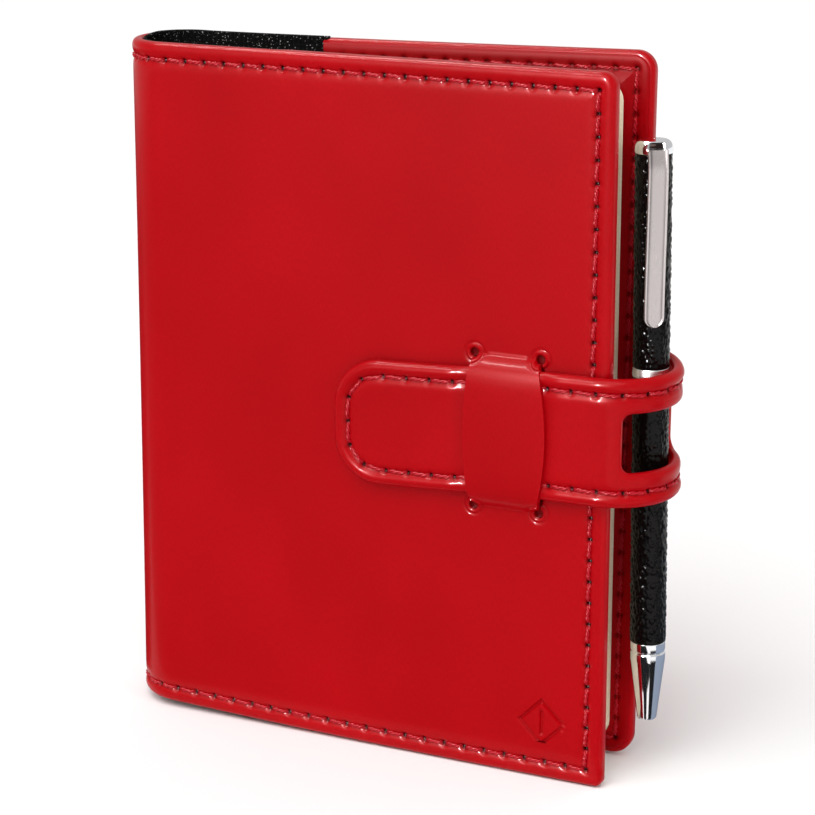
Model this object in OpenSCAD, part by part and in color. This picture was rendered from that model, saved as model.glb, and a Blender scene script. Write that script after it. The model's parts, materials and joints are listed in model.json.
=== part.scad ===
// Pocket notebook: a soft leather cover with a wrap-round strap, a paper block and a twist pen.
// Millimetres, +Z up. The spine is at -X, the fore edge at +X, the front cover faces -Y,
// and the notebook stands on its lower edge at z = 0.

/* [Cover] */
// Height of the cover
cover_h = 158; // [152:1:170]
// Width of the cover, from the outside of the spine to the fore edge
cover_w = 120; // [115:1:130]
// Thickness of the closed notebook, front face to back face
thick = 23; // [21:0.5:24]
// Radius of the cover's corners
corner_r = 3.8; // [3.6:0.1:5]
// Thickness of one layer of leather
skin_t = 1.2; // [1:0.1:1.2]
// Width of the padded rim round each cover
rim_w = 3.4; // [3:0.1:3.4]
// Distance of the stitch line from the edge
stitch_in = 3.9; // [3.8:0.1:4.5]
// Distance from one stitch to the next
stitch_pitch = 4.9; // [4:0.1:6]
// Distance from the spine at which the inner pocket starts
pocket_x = 42; // [38:1:60]

/* [Book] */
// Height of the pages
page_h = 149; // [140:1:150]
// Distance of the pages' fore edge from the spine's outside
page_edge = 115; // [108:0.2:115]
// Radius of the pages' corners
page_r = 4; // [2:0.5:6]

/* [Strap] */
// Height of the strap's middle above the ground
strap_z = 78.8; // [70:0.2:86]
// Width of the strap
strap_w = 28.5; // [24:0.5:30]
// Distance of the tongue's tip from the spine's outside
tongue_x = 55.8; // [50:0.2:70]
// Radius of the tongue's corners
tongue_r = 11; // [6:0.5:13]
// Height of the window cut in the fold
window_h = 13; // [8:0.5:14]
// Length of the tail sewn to the back cover
tail_l = 30; // [20:1:45]

/* [Keeper] */
// Distance of the keeper's middle from the spine's outside
keeper_x = 96.7; // [90:0.1:98]
// Distance between the keeper's left and right relief holes
keeper_w = 15.4; // [12:0.2:18]
// Length of the keeper's slits
keeper_h = 34.4; // [34:0.2:38]
// How far each slit bows outwards
keeper_bow = 2; // [1:0.1:3]

/* [Pen] */
// Radius of the pen's barrel
pen_r = 4; // [3.6:0.1:4.1]
// Height of the pen's tip above the ground
pen_tip = 13.3; // [10:0.1:16]
// How far the pen leans towards the spine, in degrees
pen_lean = 0.8; // [0:0.1:1]
// Direction the clip faces, in degrees from straight ahead
clip_turn = 31; // [20:1:40]

/* [Hidden] */
$fn = 64;
spine_r = thick / 2;
hinge_a = 22.5;
edge_gap = 0.8;
rim_r = 1.1;
rim_thin = 2.4;
rim_deep = 3.6;
groove_w = 0.9;
groove_d = 0.7;
thread_r = 0.33;
thread_y = 0.35;
thread_l = 3.9;
lining_t = 0.5;
board_t = 1.15;
card_y = 3.0;
card_t = 0.6;
pocket_y = 3.65;
pocket_t = 0.95;
page_y = 4.75;
page_mid = 0.15;
page_x = 6.6;
page_z = (cover_h - page_h) / 2;
page_axis = 5.7;
fold_x = cover_w - 2.8;
fold_a = 66;
window_a = 59;
strap_gap = 0.35;
strap_ply = 1.2;
fold_ri = spine_r + strap_gap;
fold_rm = fold_ri + strap_ply;
fold_ro = fold_rm + strap_ply;
fold_cut = 0.65;
strap_in = 3.5;
strap_pitch = 5.6;
keeper_gap = 0.3;
keeper_out = strap_gap + 2 * strap_ply + keeper_gap + skin_t;
bow_r = (keeper_h * keeper_h / 4 + keeper_bow * keeper_bow) / (2 * keeper_bow);
pen_x = fold_x + 6.9;
pen_y = spine_r + 3.35;
tube_r = pen_r - 0.5;
origin_x = (fold_x + fold_ro) / 2;
origin_y = (thick + strap_gap + 2 * strap_ply - keeper_out) / 2;
leather = [0.72, 0.05, 0.08];
inner_leather = [0.66, 0.05, 0.08];
thread_col = [0.80, 0.16, 0.18];
mesh_col = [0.05, 0.05, 0.05];
board_col = [0.45, 0.38, 0.30];
paper_col = [0.93, 0.88, 0.74];
wrap_col = [0.08, 0.08, 0.08];
chrome_col = [0.80, 0.81, 0.83];
brass_col = [0.75, 0.62, 0.30];
plastic_col = [0.85, 0.85, 0.85];

// ---- placing ----

module place() {
    translate([-origin_x, -origin_y, 0]) children();
}

// Turns a front-cover piece into its back-cover twin.
module to_back() {
    translate([0, thick, 0]) mirror([0, 1, 0]) children();
}

module pen_place() {
    translate([pen_x, pen_y, strap_z]) rotate([0, -pen_lean, 0]) translate([0, 0, -strap_z]) children();
}

// ---- leather cover ----

// Section of the padded rim: x runs in from the edge, y runs in from the outer face.
module rim_section(depth) {
    translate([rim_r, 0]) square([rim_w - rim_r, depth]);
    translate([0, rim_r]) square([rim_w, depth - 2 * rim_r]);
    for (y = [rim_r, depth - rim_r]) translate([rim_r, y]) circle(r = rim_r);
}

// A flat plate in the XZ plane with rounded fore-edge corners.
module plate(x0, x1, z0, z1, y0, t, r) {
    translate([0, y0 + t, 0]) rotate([90, 0, 0]) linear_extrude(t) {
        translate([x0, z0]) square([x1 - x0 - r, z1 - z0]);
        translate([x1 - r - 0.01, z0 + r]) square([r + 0.01, z1 - z0 - 2 * r]);
        for (z = [z0 + r, z1 - r]) translate([x1 - r, z]) circle(r = r);
    }
}

module rim_bar(x0, x1, depth) {
    for (top = [0, 1]) translate([x0, 0, top * cover_h]) mirror([0, 0, 1 - top])
        rotate([0, 90, 0]) linear_extrude(x1 - x0) rim_section(depth);
}

module fore_rim() {
    translate([cover_w, 0, corner_r]) mirror([1, 0, 0])
        linear_extrude(cover_h - 2 * corner_r) rim_section(rim_deep);
    for (top = [0, 1]) translate([cover_w - corner_r, 0, top ? cover_h - corner_r : corner_r])
        rotate([-90, 0, 0]) rotate([0, 0, -90 * top]) rotate_extrude(angle = 90)
            translate([corner_r, 0]) mirror([1, 0]) rim_section(rim_deep);
}

// Vertical section of the spine leather, x is the radius.
module spine_section() {
    difference() {
        union() {
            translate([spine_r - skin_t, 1.5]) square([skin_t, cover_h - 3]);
            translate([spine_r, cover_h]) mirror([1, 1]) rim_section(rim_thin);
            translate([spine_r, 0]) rotate(90) rim_section(rim_thin);
        }
        for (z = [stitch_in, cover_h - stitch_in])
            translate([spine_r - groove_d, z - groove_w / 2]) square([groove_d + 1, groove_w]);
    }
}

// Part of the spine between two angles: 90 is the back crease, 270 the front one.
module spine_turn(a0, a1) {
    translate([spine_r, spine_r, 0]) rotate([0, 0, a0]) rotate_extrude(angle = a1 - a0) children();
}

module spine_lining_section() {
    translate([spine_r - rim_thin - lining_t - 0.05, 0.8]) square([lining_t, cover_h - 1.6]);
}

module spine_threads(angles) {
    for (a = angles, z = [stitch_in, cover_h - stitch_in])
        spine_turn(a - 9.5, a + 9.5) translate([spine_r - thread_y, z]) circle(r = thread_r);
}

module groove_run(x0, x1) {
    for (z = [stitch_in, cover_h - stitch_in])
        translate([x0, -1, z - groove_w / 2]) cube([x1 - x0, groove_d + 1, groove_w]);
}

module leaf_skin() {
    difference() {
        union() {
            plate(spine_r, cover_w - 1.2, 1.2, cover_h - 1.2, 0, skin_t, corner_r - 1.2);
            rim_bar(spine_r, pocket_x, rim_thin);
            rim_bar(pocket_x, cover_w - corner_r, rim_deep);
            fore_rim();
        }
        groove_run(spine_r, cover_w - stitch_in + groove_w / 2);
        translate([cover_w - stitch_in - groove_w / 2, -1, stitch_in])
            cube([groove_w, groove_d + 1, cover_h - 2 * stitch_in]);
    }
    spine_turn(270 - hinge_a + edge_gap, 270) spine_section();
}

module thread_x(x, z, y) {
    translate([x - thread_l / 2, y, z]) rotate([0, 90, 0]) cylinder(r = thread_r, h = thread_l);
}

module thread_z(x, z, y) {
    translate([x, y, z - thread_l / 2]) cylinder(r = thread_r, h = thread_l);
}

module leaf_stitching() {
    x_last = cover_w - stitch_in - stitch_pitch / 2 - 0.5;
    count = floor((x_last - spine_r - 1) / stitch_pitch);
    for (i = [0:count], z = [stitch_in, cover_h - stitch_in])
        thread_x(x_last - i * stitch_pitch, z, thread_y);
    run = cover_h - 2 * stitch_in;
    side = floor((run - 1) / stitch_pitch);
    for (i = [0:side - 1])
        thread_z(cover_w - stitch_in, stitch_in + (run - (side - 1) * stitch_pitch) / 2 + i * stitch_pitch,
            thread_y);
}

module leaf_board() {
    plate(spine_r + 2, cover_w - rim_w - 0.2, rim_w + 0.2, cover_h - rim_w - 0.2, skin_t + 0.03, board_t, 1);
}

module leaf_lining() {
    translate([spine_r, rim_thin + 0.05, 0.8]) cube([pocket_x - spine_r, lining_t, cover_h - 1.6]);
    spine_turn(270 - hinge_a + edge_gap, 270) spine_lining_section();
}

module leaf_pocket() {
    difference() {
        plate(pocket_x + 0.4, cover_w - 0.8, 0.8, cover_h - 0.8, pocket_y, pocket_t, corner_r - 0.8);
        // stitch groove on the inner face
        for (z = [stitch_in, cover_h - stitch_in])
            translate([pocket_x, pocket_y + pocket_t - 0.3, z - groove_w / 2])
                cube([cover_w - stitch_in - pocket_x, 1, groove_w]);
        translate([cover_w - stitch_in - groove_w / 2, pocket_y + pocket_t - 0.3, stitch_in])
            cube([groove_w, 1, cover_h - 2 * stitch_in]);
    }
}

module leaf_card() {
    plate(spine_r + 0.6, page_edge - 6, page_z, page_z + page_h, card_y, card_t, page_r);
}

// ---- keeper ----

module keeper_print(grow) {
    intersection() {
        translate([keeper_x - keeper_w / 2 - keeper_bow + bow_r, 0]) circle(r = bow_r + grow, $fn = 180);
        translate([keeper_x + keeper_w / 2 + keeper_bow - bow_r, 0]) circle(r = bow_r + grow, $fn = 180);
        translate([keeper_x - 20, -keeper_h / 2]) square([40, keeper_h]);
    }
}

module relief_holes() {
    for (x = [-1, 1], z = [-1, 1])
        translate([keeper_x + x * keeper_w / 2, 3, strap_z + z * keeper_h / 2])
            rotate([90, 0, 0]) cylinder(r = 1.1, h = 10);
}

module keeper_band_shape() {
    top = keeper_h / 2;
    mid = strap_w / 2 + 0.7;
    difference() {
        intersection() {
            translate([keeper_x - 20, 0, strap_z]) rotate([90, 0, 90]) linear_extrude(40)
                polygon([
                    [0, -top + 0.02], [skin_t, -top + 0.02], [skin_t, -top + 1.1],
                    [skin_t - keeper_out, -mid + 0.4], [skin_t - keeper_out, mid - 0.4],
                    [skin_t, top - 1.1], [skin_t, top - 0.02], [0, top - 0.02],
                    [-keeper_out, mid + 0.3], [-keeper_out, -mid - 0.3]
                ]);
            translate([0, 10, strap_z]) rotate([90, 0, 0]) linear_extrude(30) keeper_print(0);
        }
        relief_holes();
    }
}

// A plain sunken lozenge with a bar, in the cover's lower corner.
module sunken_mark() {
    translate([cover_w - 14.2, 0.35, 13.2]) rotate([90, 0, 0]) linear_extrude(3) {
        difference() {
            rotate(45) square(8, center = true);
            rotate(45) square(6.6, center = true);
        }
        square([0.8, 5.4], center = true);
    }
}

module front_skin_shape() {
    difference() {
        leaf_skin();
        translate([0, 5, strap_z]) rotate([90, 0, 0]) linear_extrude(10) keeper_print(0.25);
        relief_holes();
        sunken_mark();
    }
}

// ---- strap ----

module strap_turn(a0, a1, r0, r1) {
    translate([fold_x, spine_r, strap_z]) rotate([0, 0, a0]) rotate_extrude(angle = a1 - a0)
        translate([r0, -strap_w / 2]) square([r1 - r0, strap_w]);
}

// Groove along both long sides of the turned strap.
module strap_turn_groove(a0, a1) {
    translate([fold_x, spine_r, strap_z]) rotate([0, 0, a0]) rotate_extrude(angle = a1 - a0)
        for (z = [-1, 1]) translate([fold_ro - groove_d, z * (strap_w / 2 - strap_in) - groove_w / 2])
            square([groove_d + 1, groove_w]);
}

module strap_turn_thread(a) {
    translate([fold_x, spine_r, strap_z]) rotate([0, 0, a - 9]) rotate_extrude(angle = 18)
        for (z = [-1, 1]) translate([fold_ro - thread_y, z * (strap_w / 2 - strap_in)]) circle(r = thread_r);
}

module tongue_plate(y0, t) {
    translate([0, y0 + t, strap_z]) rotate([90, 0, 0]) linear_extrude(t) {
        translate([tongue_x + tongue_r, -strap_w / 2]) square([fold_x - tongue_x - tongue_r, strap_w]);
        translate([tongue_x, -strap_w / 2 + tongue_r]) square([tongue_r + 0.01, strap_w - 2 * tongue_r]);
        for (z = [-1, 1]) translate([tongue_x + tongue_r, z * (strap_w / 2 - tongue_r)]) circle(r = tongue_r);
    }
}

// Groove that follows the tongue's outline.
module tongue_groove() {
    y_face = -strap_gap - 2 * strap_ply;
    r = tongue_r - strap_in;
    half = strap_w / 2 - strap_in;
    for (z = [-1, 1]) {
        translate([tongue_x + tongue_r, y_face - 1, strap_z + z * half - groove_w / 2])
            cube([fold_x - tongue_x - tongue_r, groove_d + 1, groove_w]);
        translate([tongue_x + tongue_r, y_face - 1, strap_z + z * (half - r)]) rotate([-90, 0, 0])
            rotate([0, 0, z > 0 ? 180 : 90]) rotate_extrude(angle = 90)
                translate([r - groove_w / 2, 0]) square([groove_w, groove_d + 1]);
    }
    translate([tongue_x + strap_in - groove_w / 2, y_face - 1, strap_z - half + r])
        cube([groove_w, groove_d + 1, 2 * (half - r)]);
}

module tongue_threads() {
    y_mid = -strap_gap - 2 * strap_ply + thread_y;
    half = strap_w / 2 - strap_in;
    r = tongue_r - strap_in;
    count = floor((fold_x - tongue_x - tongue_r) / strap_pitch);
    for (i = [0:count - 1], z = [-1, 1])
        thread_x(fold_x - 3 - i * strap_pitch, strap_z + z * half, y_mid);
    thread_z(tongue_x + strap_in, strap_z, y_mid);
    for (z = [-1, 1]) for (a = [26, 64])
        translate([tongue_x + tongue_r, y_mid, strap_z + z * (half - r)]) rotate([-90, 0, 0])
            rotate([0, 0, z > 0 ? 180 + a - 15 : 180 - a - 15]) rotate_extrude(angle = 30)
                translate([r, 0]) circle(r = thread_r);
}

module strap_window() {
    translate([fold_x, spine_r, strap_z]) rotate([0, 0, -window_a]) rotate_extrude(angle = 2 * window_a)
        translate([fold_ri - 2, -window_h / 2]) square([8, window_h]);
}

module tail_plate(y0, t) {
    translate([fold_x - tail_l, y0, strap_z - strap_w / 2]) cube([tail_l, t, strap_w]);
}

// ---- pen ----

module pipe(r_out, r_in, z0, z1) {
    translate([0, 0, z0]) difference() {
        cylinder(r = r_out, h = z1 - z0);
        translate([0, 0, -1]) cylinder(r = r_in, h = z1 - z0 + 2);
    }
}

// Heights on the pen, measured up from its tip.
nose_top = 17.6;
ring_z0 = 77.9;
ring_z1 = 80;
cap_z0 = 126.2;
cap_z1 = 129;

module at_tip() {
    pen_place() translate([0, 0, pen_tip]) children();
}

module nose_shape() {
    rotate_extrude() polygon([
        [1.25, 0], [2, 0], [2.15, 0.3], [3.75, 13], [3.75, 14.9], [3.55, 15.1], [3.55, 15.4],
        [3.75, 15.6], [3.75, nose_top], [tube_r - 0.45, nose_top], [tube_r - 0.45, nose_top + 3],
        [2.2, nose_top + 3], [2.2, 9], [1.25, 4]
    ]);
}

module cap_shape() {
    difference() {
        union() {
            translate([0, 0, cap_z0]) cylinder(r = pen_r + 0.05, h = 1.8);
            translate([0, 0, cap_z0 + 1.8]) cylinder(r1 = pen_r + 0.05, r2 = pen_r - 0.75, h = 1);
        }
        translate([0, 0, cap_z0 - 1]) cylinder(r = 2, h = 2.2);
        rotate([0, 0, clip_turn]) translate([-2.3, -pen_r - 1.5, cap_z0 - 1]) cube([4.6, 2.4, 2.2]);
    }
}

module clip_shape() {
    rotate([0, 0, clip_turn]) {
        // foot let into the cap
        translate([-2.2, -pen_r - 1.9, cap_z0]) cube([4.4, 2.7, 1.1]);
        // blade, with a rounded lower end
        translate([0, -pen_r - 1.15, 0]) rotate([90, 0, 0]) linear_extrude(0.75) {
            translate([-2.2, 92]) square([4.4, cap_z0 + 1.1 - 92]);
            translate([0, 92]) circle(r = 2.2);
        }
        // bead that presses on the barrel
        translate([0, -pen_r - 0.66, 92.5]) rotate([0, 90, 0]) translate([0, 0, -1])
            cylinder(r = 0.56, h = 2);
    }
}

// ---- nodes ----

module back_skin() { color(leather) place() to_back() leaf_skin(); }
module back_board() { color(board_col) place() to_back() leaf_board(); }
module back_lining() { color(mesh_col) place() to_back() leaf_lining(); }
module back_pocket() { color(inner_leather) place() to_back() leaf_pocket(); }
module back_stitching() { color(thread_col) place() to_back() leaf_stitching(); }
module back_card() { color(board_col) place() to_back() leaf_card(); }
module front_board() { color(board_col) place() leaf_board(); }
module front_lining() { color(mesh_col) place() leaf_lining(); }
module front_pocket() { color(inner_leather) place() leaf_pocket(); }
module front_stitching() { color(thread_col) place() leaf_stitching(); }
module front_card() { color(board_col) place() leaf_card(); }
module front_skin() { color(leather) place() front_skin_shape(); }
module keeper_band() { color(leather) place() keeper_band_shape(); }

module half_pages() {
    depth = spine_r - page_mid - page_y;
    for (i = [0:2])
        plate(page_x, page_edge, page_z, page_z + page_h, page_y + i * depth / 3, depth / 3 - 0.02, page_r);
}
module front_pages() { color(paper_col) place() half_pages(); }
module back_pages() { color(paper_col) place() to_back() half_pages(); }

module half_spine_strip() {
    translate([page_axis + 0.2, page_y + 0.6, page_z])
        cube([page_x - page_axis - 0.22, spine_r - page_mid - page_y - 0.6, page_h]);
}
module book_spine_front() { color(board_col) place() half_spine_strip(); }
module book_spine_back() { color(board_col) place() to_back() half_spine_strip(); }

module spine_back_skin() {
    color(leather) place() spine_turn(90 + hinge_a + edge_gap, 180 - edge_gap) spine_section();
}
module spine_front_skin() {
    color(leather) place() spine_turn(180 + edge_gap, 270 - hinge_a - edge_gap) spine_section();
}
module spine_back_lining() {
    color(mesh_col) place() spine_turn(90 + hinge_a + edge_gap, 180 - edge_gap) spine_lining_section();
}
module spine_front_lining() {
    color(mesh_col) place() spine_turn(180 + edge_gap, 270 - hinge_a - edge_gap) spine_lining_section();
}
module spine_back_stitching() { color(thread_col) place() spine_threads([130, 156]); }
module spine_front_stitching() { color(thread_col) place() spine_threads([204, 230]); }

module strap_tail_outer() {
    color(leather) place() difference() {
        union() {
            tail_plate(thick + strap_gap + strap_ply, strap_ply);
            strap_turn(fold_a + fold_cut, 90, fold_rm, fold_ro);
        }
        strap_turn_groove(fold_a, 90);
        for (z = [-1, 1])
            translate([fold_x - tail_l + strap_in - groove_w / 2, thick + strap_gap + 2 * strap_ply - groove_d,
                strap_z + z * (strap_w / 2 - strap_in) - groove_w / 2])
                cube([tail_l - strap_in + groove_w / 2, groove_d + 1, groove_w]);
        for (x = [fold_x - tail_l + strap_in, fold_x - 6])
            translate([x - groove_w / 2, thick + strap_gap + 2 * strap_ply - groove_d,
                strap_z - strap_w / 2 + strap_in])
                cube([groove_w, groove_d + 1, strap_w - 2 * strap_in]);
    }
}
module strap_tail_lining() {
    color(inner_leather) place() {
        tail_plate(thick + strap_gap, strap_ply);
        translate([fold_x - tail_l, thick + 0.01, strap_z - strap_w / 2]) cube([tail_l - 7, 0.5, strap_w]);
        strap_turn(fold_a + fold_cut, 90, fold_ri, fold_rm);
    }
}
module strap_tail_stitching() {
    y_mid = thick + strap_gap + 2 * strap_ply - thread_y;
    color(thread_col) place() {
        for (i = [0:3], z = [-1, 1])
            thread_x(fold_x - 6 - (i + 0.5) * 5.1, strap_z + z * (strap_w / 2 - strap_in), y_mid);
        for (x = [fold_x - tail_l + strap_in, fold_x - 6], i = [0:2])
            thread_z(x, strap_z + (i - 1) * 5.6, y_mid);
    }
}
module strap_fold_outer() {
    color(leather) place() difference() {
        strap_turn(-fold_a + fold_cut, fold_a - fold_cut, fold_rm, fold_ro);
        strap_turn_groove(-fold_a, fold_a);
        strap_window();
    }
}
module strap_fold_lining() {
    color(inner_leather) place() difference() {
        strap_turn(-fold_a + fold_cut, fold_a - fold_cut, fold_ri, fold_rm);
        strap_window();
    }
}
module strap_fold_stitching() {
    color(thread_col) place() for (a = [-48, -24, 0, 24, 48]) strap_turn_thread(a);
}
module strap_tongue_outer() {
    color(leather) place() difference() {
        union() {
            tongue_plate(-strap_gap - 2 * strap_ply, strap_ply);
            strap_turn(-90, -fold_a - fold_cut, fold_rm, fold_ro);
        }
        tongue_groove();
        strap_turn_groove(-90, -fold_a);
    }
}
module strap_tongue_lining() {
    color(inner_leather) place() {
        tongue_plate(-strap_gap - strap_ply, strap_ply);
        strap_turn(-90, -fold_a - fold_cut, fold_ri, fold_rm);
    }
}
module strap_tongue_stitching() { color(thread_col) place() tongue_threads(); }

module pen_lower_tube() {
    color(brass_col) place() at_tip() {
        pipe(tube_r, tube_r - 0.4, nose_top + 0.02, ring_z0);
        pipe(tube_r - 0.5, tube_r - 0.9, ring_z0 - 4, ring_z0 + 8);
        pipe(tube_r - 0.38, tube_r - 0.6, ring_z0 - 4, ring_z0 - 1);
    }
}
module pen_lower_wrap() { color(wrap_col) place() at_tip() pipe(pen_r, tube_r + 0.01, nose_top + 0.02, ring_z0 - 0.1); }
module pen_nose() { color(chrome_col) place() at_tip() nose_shape(); }
module pen_ring() { color(chrome_col) place() at_tip() pipe(pen_r + 0.03, tube_r - 0.4, ring_z0 + 0.05, ring_z1); }
module pen_upper_tube() { color(brass_col) place() at_tip() pipe(tube_r, tube_r - 0.4, ring_z1 + 0.02, cap_z0 - 0.02); }
module pen_upper_wrap() {
    color(wrap_col) place() at_tip() pipe(pen_r, tube_r + 0.01, ring_z1 + 0.02, cap_z0 - 0.02);
}
module pen_cap() { color(chrome_col) place() at_tip() cap_shape(); }
module pen_clip() { color(chrome_col) place() at_tip() clip_shape(); }
module twist_cam() {
    color(plastic_col) place() at_tip() difference() {
        translate([0, 0, 90]) cylinder(r = tube_r - 0.42, h = 20);
        translate([0, 0, 89]) cylinder(r = 1.6, h = 16);
    }
}
module refill_tube() {
    color(plastic_col) place() at_tip() {
        translate([0, 0, 12]) cylinder(r = 1.5, h = 84);
    }
}
module refill_tip() {
    color(brass_col) place() at_tip() rotate_extrude() polygon([
        [0, 0.6], [0.35, 0.6], [0.6, 2.4], [1.15, 3.2], [1.15, 8], [1.5, 9], [1.5, 11.98], [0, 11.98]
    ]);
}

back_skin();
back_board();
back_lining();
back_pocket();
back_stitching();
strap_tail_outer();
strap_tail_lining();
strap_tail_stitching();
back_card();
back_pages();
book_spine_back();
spine_back_skin();
spine_back_lining();
spine_back_stitching();
spine_front_skin();
spine_front_lining();
spine_front_stitching();
front_skin();
keeper_band();
front_board();
front_lining();
front_pocket();
front_stitching();
front_card();
front_pages();
book_spine_front();
strap_fold_outer();
strap_fold_lining();
strap_fold_stitching();
strap_tongue_outer();
strap_tongue_lining();
strap_tongue_stitching();
pen_lower_tube();
pen_lower_wrap();
pen_nose();
pen_cap();
pen_clip();
pen_upper_tube();
pen_upper_wrap();
pen_ring();
twist_cam();
refill_tube();
refill_tip();
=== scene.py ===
"""Pocket notebook in a soft red leather cover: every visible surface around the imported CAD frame."""
import json
import math
import random

import bmesh
import bpy
import numpy as np
from mathutils import Matrix, Vector, noise
from mathutils.geometry import delaunay_2d_cdt

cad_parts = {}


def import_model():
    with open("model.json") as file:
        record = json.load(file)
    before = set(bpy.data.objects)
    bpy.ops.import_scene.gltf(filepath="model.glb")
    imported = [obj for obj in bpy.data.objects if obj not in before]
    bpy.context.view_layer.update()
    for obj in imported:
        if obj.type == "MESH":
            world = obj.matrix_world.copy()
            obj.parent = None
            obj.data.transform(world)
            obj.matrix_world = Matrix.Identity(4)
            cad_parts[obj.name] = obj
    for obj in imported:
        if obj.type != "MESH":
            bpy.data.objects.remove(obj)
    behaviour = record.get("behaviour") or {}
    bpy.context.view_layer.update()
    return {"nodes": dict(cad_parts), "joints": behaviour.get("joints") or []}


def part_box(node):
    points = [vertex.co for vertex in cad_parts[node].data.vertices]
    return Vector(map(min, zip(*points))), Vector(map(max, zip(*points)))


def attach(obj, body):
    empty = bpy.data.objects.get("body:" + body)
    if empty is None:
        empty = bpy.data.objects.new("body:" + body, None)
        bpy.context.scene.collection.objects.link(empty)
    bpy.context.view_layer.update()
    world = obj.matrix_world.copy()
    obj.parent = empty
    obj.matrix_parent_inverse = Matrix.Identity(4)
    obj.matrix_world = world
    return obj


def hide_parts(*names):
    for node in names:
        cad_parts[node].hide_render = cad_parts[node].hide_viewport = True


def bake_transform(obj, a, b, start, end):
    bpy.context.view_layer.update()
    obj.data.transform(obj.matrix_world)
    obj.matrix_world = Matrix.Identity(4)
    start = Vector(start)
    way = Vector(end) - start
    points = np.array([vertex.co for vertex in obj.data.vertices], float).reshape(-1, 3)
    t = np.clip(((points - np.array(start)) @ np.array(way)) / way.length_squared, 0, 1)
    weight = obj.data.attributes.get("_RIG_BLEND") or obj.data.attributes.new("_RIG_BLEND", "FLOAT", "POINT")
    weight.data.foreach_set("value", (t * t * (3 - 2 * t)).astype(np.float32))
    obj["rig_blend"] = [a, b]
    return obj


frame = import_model()
MM = 0.001
rng = random.Random(7)

# ------------------------------------------------------------------ sizes, some read from the frame, the rest given
X0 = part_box("spine_back_skin")[0][0]
Y0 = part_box("front_skin")[0][1]


def local_box(node):
    """A node's box in millimetres from the spine's outside, the front face and the ground."""
    lo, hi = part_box(node)
    return [[(p[0] - X0) / MM, (p[1] - Y0) / MM, p[2] / MM] for p in (lo, hi)]


COVER_W, _, COVER_H = local_box("front_skin")[1]
THICK = local_box("back_skin")[1][1]
SPINE_R = THICK / 2
STITCH_IN = 3.8
STITCH_PITCH = 4.855
LEATHER_T = 1.2
EDGE_THIN, EDGE_DEEP = 2.4, 3.4
POCKET_X = local_box("back_pocket")[0][0] + 0.2
SPINE_MID_U = SPINE_R - SPINE_R * math.pi / 2
PANEL_U = SPINE_R + 3.0
ARC45_U = SPINE_R - SPINE_R * math.pi / 4

STRAP_LO, STRAP_HI = local_box("strap_tongue_outer")
STRAP_Z = (STRAP_LO[2] + STRAP_HI[2]) / 2
STRAP_W = STRAP_HI[2] - STRAP_LO[2]
STRAP_TIP = STRAP_LO[0]
FOLD_RO = local_box("strap_tail_outer")[1][1] - SPINE_R
STRAP_GAP = 0.35
STRAP_T = 2.4
STRAP_ENDS = (11.0, 3.0)
TILT_TIP, TILT = -1.1, 2.0
FOLD_RI = FOLD_RO - STRAP_T
FOLD_RM = FOLD_RI + STRAP_T / 2
FOLD_X = local_box("strap_fold_outer")[1][0] - FOLD_RO
TAIL_L = FOLD_X - local_box("strap_tail_outer")[0][0]
WINDOW_H = 13.0
WINDOW_FROM, WINDOW_TO = math.radians(-62), math.radians(50)
STRAP_STITCH = 3.5
STRAP_PITCH = 5.55

BAND_LO, BAND_HI = local_box("keeper_band")
KEEPER_X = (BAND_LO[0] + BAND_HI[0]) / 2
KEEPER_HALF = 7.7
KEEPER_BOWS = {-1: 1.6, 1: 2.7}
KEEPER_TOP = (BAND_HI[2] - BAND_LO[2]) / 2
KEEPER_LIFT = -BAND_LO[1]
KEEPER_SLACK, KEEPER_CROWN, KEEPER_FLAT = 0.95, 0.3, 8
KEEPER_UNDER = 0.87
KEEPER_PRESS = 0.25
KEEPER_ZONE = (12, 20)

JOINTS = {j["name"]: j for j in frame["joints"]}
PEN_AXIS = Vector(JOINTS["pen_twist"]["axis"]).normalized()
PEN_POINT = Vector(JOINTS["pen_twist"]["pos_m"])
PEN_R = 4.0
PEN_TIP = 13.3
CLIP_TURN = math.radians(31)
EDGE_STEP = 0.42
LEAST = 0.02


def world(u, v, z):
    return (X0 + u * MM, Y0 + v * MM, z * MM)


# ------------------------------------------------------------------ materials


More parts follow.
